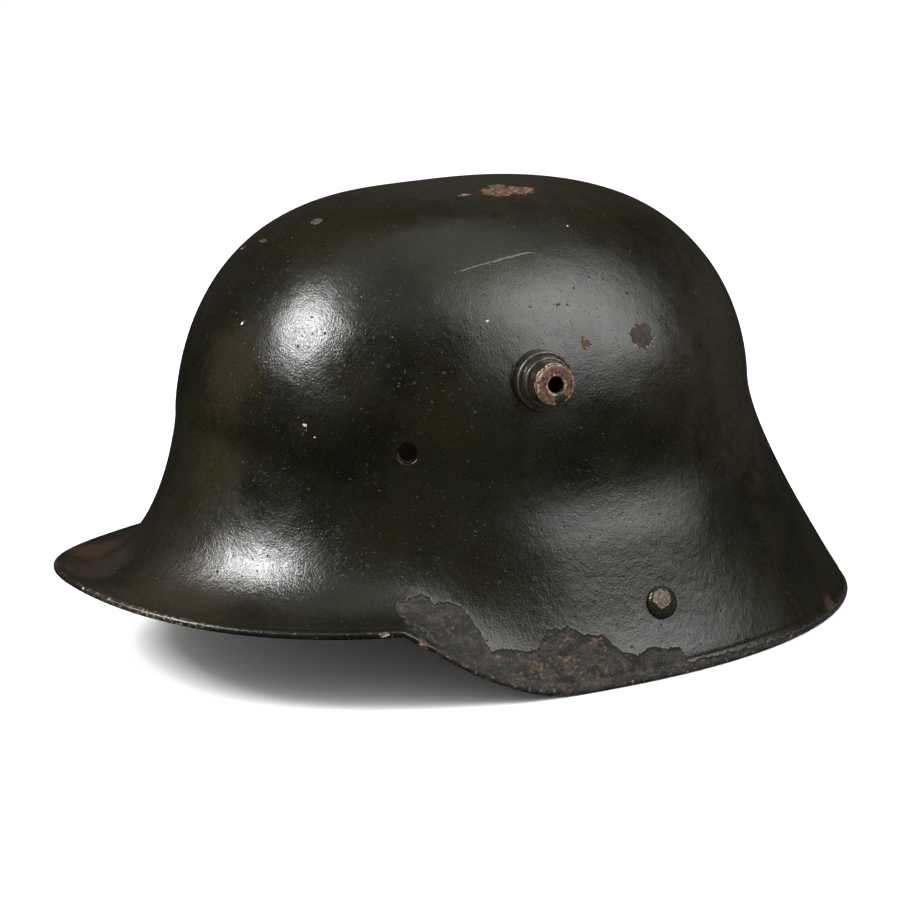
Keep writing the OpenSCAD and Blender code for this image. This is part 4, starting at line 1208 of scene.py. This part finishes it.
# Chin strap: one strap of dark waxed leather, its edges rounded and creased. It hangs
# on a hook at each end, with a buckle on each arm, and is stowed inside the skirt.
boss_l = 7.2
hook_x = 95.6
hook_t = 1.5
seat = 0.1
strap_w = 13
strap_t = 2.2
strap_start = 7.5
strap_arm = 40
strap_reach = 104
strap_lift = 0.4
strap_give = 0.15
pivot = on_shell(*strap_at) - (wall + boss_l) * shell_normal(*strap_at)
strap_x = hook_x - hook_t - seat - strap_t
stow = math.asin((pivot[2] - strap_lift) / math.hypot(strap_reach, strap_w / 2))
stow = stow - math.atan(strap_w / 2 / strap_reach)
half_t = strap_t / 2
half_w = strap_w / 2
mid_x = strap_x + half_t
loop = [(mid_x, y) for y in np.linspace(strap_start, strap_arm, 24)[:-1]]
loop += [(mid_x * math.cos(t), strap_arm + (strap_reach - half_t - strap_arm) * math.sin(t))
         for t in np.radians(np.linspace(0, 180, 140))]
loop += [(-mid_x, y) for y in np.linspace(strap_start, strap_arm, 24)[-2::-1]]
loop = np.array(loop)
path = np.stack([loop[:, 0], loop[:, 1], np.zeros(len(loop))], -1)
ahead = np.gradient(path, axis=0)
ahead /= np.linalg.norm(ahead, axis=1, keepdims=True)
sides = np.cross(ahead, [0, 0, 1])
face = [(half_t, -half_w + 0.7), (half_t, -half_w + 1.5), (half_t - 0.28, -half_w + 1.8),
        (half_t, -half_w + 2.1), (half_t, 0), (half_t, half_w - 2.1), (half_t - 0.28, half_w - 1.8),
        (half_t, half_w - 1.5), (half_t, half_w - 0.7), (half_t - 0.25, half_w - 0.2),
        (half_t - 0.75, half_w)]
section = np.array([(half_t - 0.75, -half_w), (half_t - 0.25, -half_w + 0.2)] + face
                   + [(-s, w) for s, w in face[::-1]]
                   + [(-half_t + 0.25, -half_w + 0.2), (-half_t + 0.75, -half_w)])
give = np.random.default_rng(21).normal(size=len(path))
give = np.convolve(np.concatenate([give, give, give]), np.hanning(15) / 7, "same")[len(path):2 * len(path)]
calm = np.clip((path[:, 1] - 34) / 20, 0, 1)
path = path - sides * (strap_give * np.abs(give) * calm)[:, None]
tilt = np.array([[1, 0, 0], [0, math.cos(stow), math.sin(stow)], [0, -math.sin(stow), math.cos(stow)]])
strap = sweep("leather_chin_strap", path @ tilt.T + [0, pivot[1], pivot[2]], sides @ tilt.T,
              np.tile(tilt[:, 2], (len(path), 1)), section, closed=False)
strap_leather, tree, place = start_finish("strap_leather")
pores = wire(tree, "ShaderNodeTexVoronoi", {"Vector": place, "Scale": 1.3}, feature="SMOOTH_F1")["Distance"]
cracked = ease(tree, cloud(tree, place, 0.06, 4.0), 0.48, 0.6)
cracked = times(tree, cell_walls(tree, place, 0.35, 0.05), cracked)
rubbed = ease(tree, cloud(tree, place, 0.09, 6.0, 0.7), 0.46, 0.68)
colour = tint(tree, rubbed, (0.035, 0.014, 0.007, 1), (0.13, 0.058, 0.027, 1))
colour = tint(tree, cracked, colour, (0.02, 0.01, 0.006, 1))
height = onto(tree, pores, 0.12, times(tree, cracked, -0.2))
lay_finish(tree, colour, ease(tree, rubbed, 0.0, 1.0, 0.32, 0.6), height)
strap.data.materials.append(strap_leather)
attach(strap, "strap")
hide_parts("chin_strap")

# Studio: a pale floor, soft lamps before the visor, behind the left side and above,
# and a camera at the photograph's angle. Glossy faces see the floor and the room dim.
pick()
bpy.ops.mesh.primitive_plane_add(size=40, location=(0, 0, 0))
floor = bpy.context.object
floor.name = "studio_floor"
floor_paint = bpy.data.materials.new("pale_floor")
floor_paint.use_nodes = True
tree = floor_paint.node_tree
tree.nodes.clear()
glossy = wire(tree, "ShaderNodeLightPath")["Is Glossy Ray"]
full = wire(tree, "ShaderNodeBsdfDiffuse", {0: (0.8, 0.8, 0.8, 1)})[0]
dim = wire(tree, "ShaderNodeBsdfDiffuse", {0: (0.01, 0.01, 0.01, 1)})[0]
seen = wire(tree, "ShaderNodeMixShader", {0: glossy, 1: full, 2: dim})[0]
wire(tree, "ShaderNodeOutputMaterial", {0: seen})
floor.data.materials.append(floor_paint)

world = bpy.data.worlds.new("studio")
bpy.context.scene.world = world
world.use_nodes = True
tree = world.node_tree
tree.nodes.clear()
glossy = wire(tree, "ShaderNodeLightPath")["Is Glossy Ray"]
open_sky = wire(tree, "ShaderNodeBackground", {0: (1, 1, 1, 1), 1: 1.2})[0]
dark_room = wire(tree, "ShaderNodeBackground", {0: (1, 0.9, 0.75, 1), 1: 0.055})[0]
seen = wire(tree, "ShaderNodeMixShader", {0: glossy, 1: open_sky, 2: dark_room})[0]
wire(tree, "ShaderNodeOutputWorld", {0: seen})

aim = np.array([0, middle_y * mm, 0.09])
lamps = (("visor_lamp", (-0.1, -0.77, 0.63), 1.6, (0.42, 0.36), 25.0),
         ("visor_lamp_edge", (-0.1, -0.77, 0.63), 1.65, (0.75, 0.62), 10.0),
         ("rear_lamp", (0.62, 0.47, 0.62), 1.6, (0.8, 0.9), 5.0),
         ("rear_lamp_middle", (0.62, 0.47, 0.63), 1.65, (1.25, 1.35), 9.5),
         ("rear_lamp_edge", (0.61, 0.46, 0.65), 1.7, (1.8, 1.9), 16.0),
         ("top_lamp", (0.1, 0.0, 1.0), 1.8, (2.4, 2.4), 8.5))
for name, heading, far, size, power in lamps:
    heading = np.array(heading) / np.linalg.norm(heading)
    lamp = bpy.data.lights.new(name, "AREA")
    lamp.shape = "RECTANGLE"
    lamp.size, lamp.size_y = size
    lamp.energy = power
    holder = bpy.data.objects.new(name, lamp)
    holder.location = aim + heading * far
    holder.rotation_euler = Vector(heading).to_track_quat("Z", "Y").to_euler()
    bpy.context.collection.objects.link(holder)

camera_far = 1.219305
camera = bpy.data.cameras.new("photo_camera")
camera.sensor_width = 36
camera.lens = 128.1
camera.shift_x = -0.0136
camera.shift_y = -0.0729
camera.clip_start = 0.05
holder = bpy.data.objects.new("photo_camera", camera)
azimuth, elevation, roll = (math.radians(v) for v in (26.658, 11.171, -2.737))
away = np.array([math.cos(azimuth) * math.cos(elevation), -math.sin(azimuth) * math.cos(elevation),
                 math.sin(elevation)])
right = np.array([math.sin(azimuth), math.cos(azimuth), 0])
up = np.cross(away, right)
turned_right = right * math.cos(roll) + up * math.sin(roll)
turned_up = up * math.cos(roll) - right * math.sin(roll)
turned = Matrix(np.stack([turned_right, turned_up, away], 1).tolist()).to_4x4()
holder.matrix_world = Matrix.Translation(aim + away * camera_far) @ turned
bpy.context.collection.objects.link(holder)
bpy.context.scene.camera = holder

bpy.context.scene.view_settings.view_transform = "Standard"
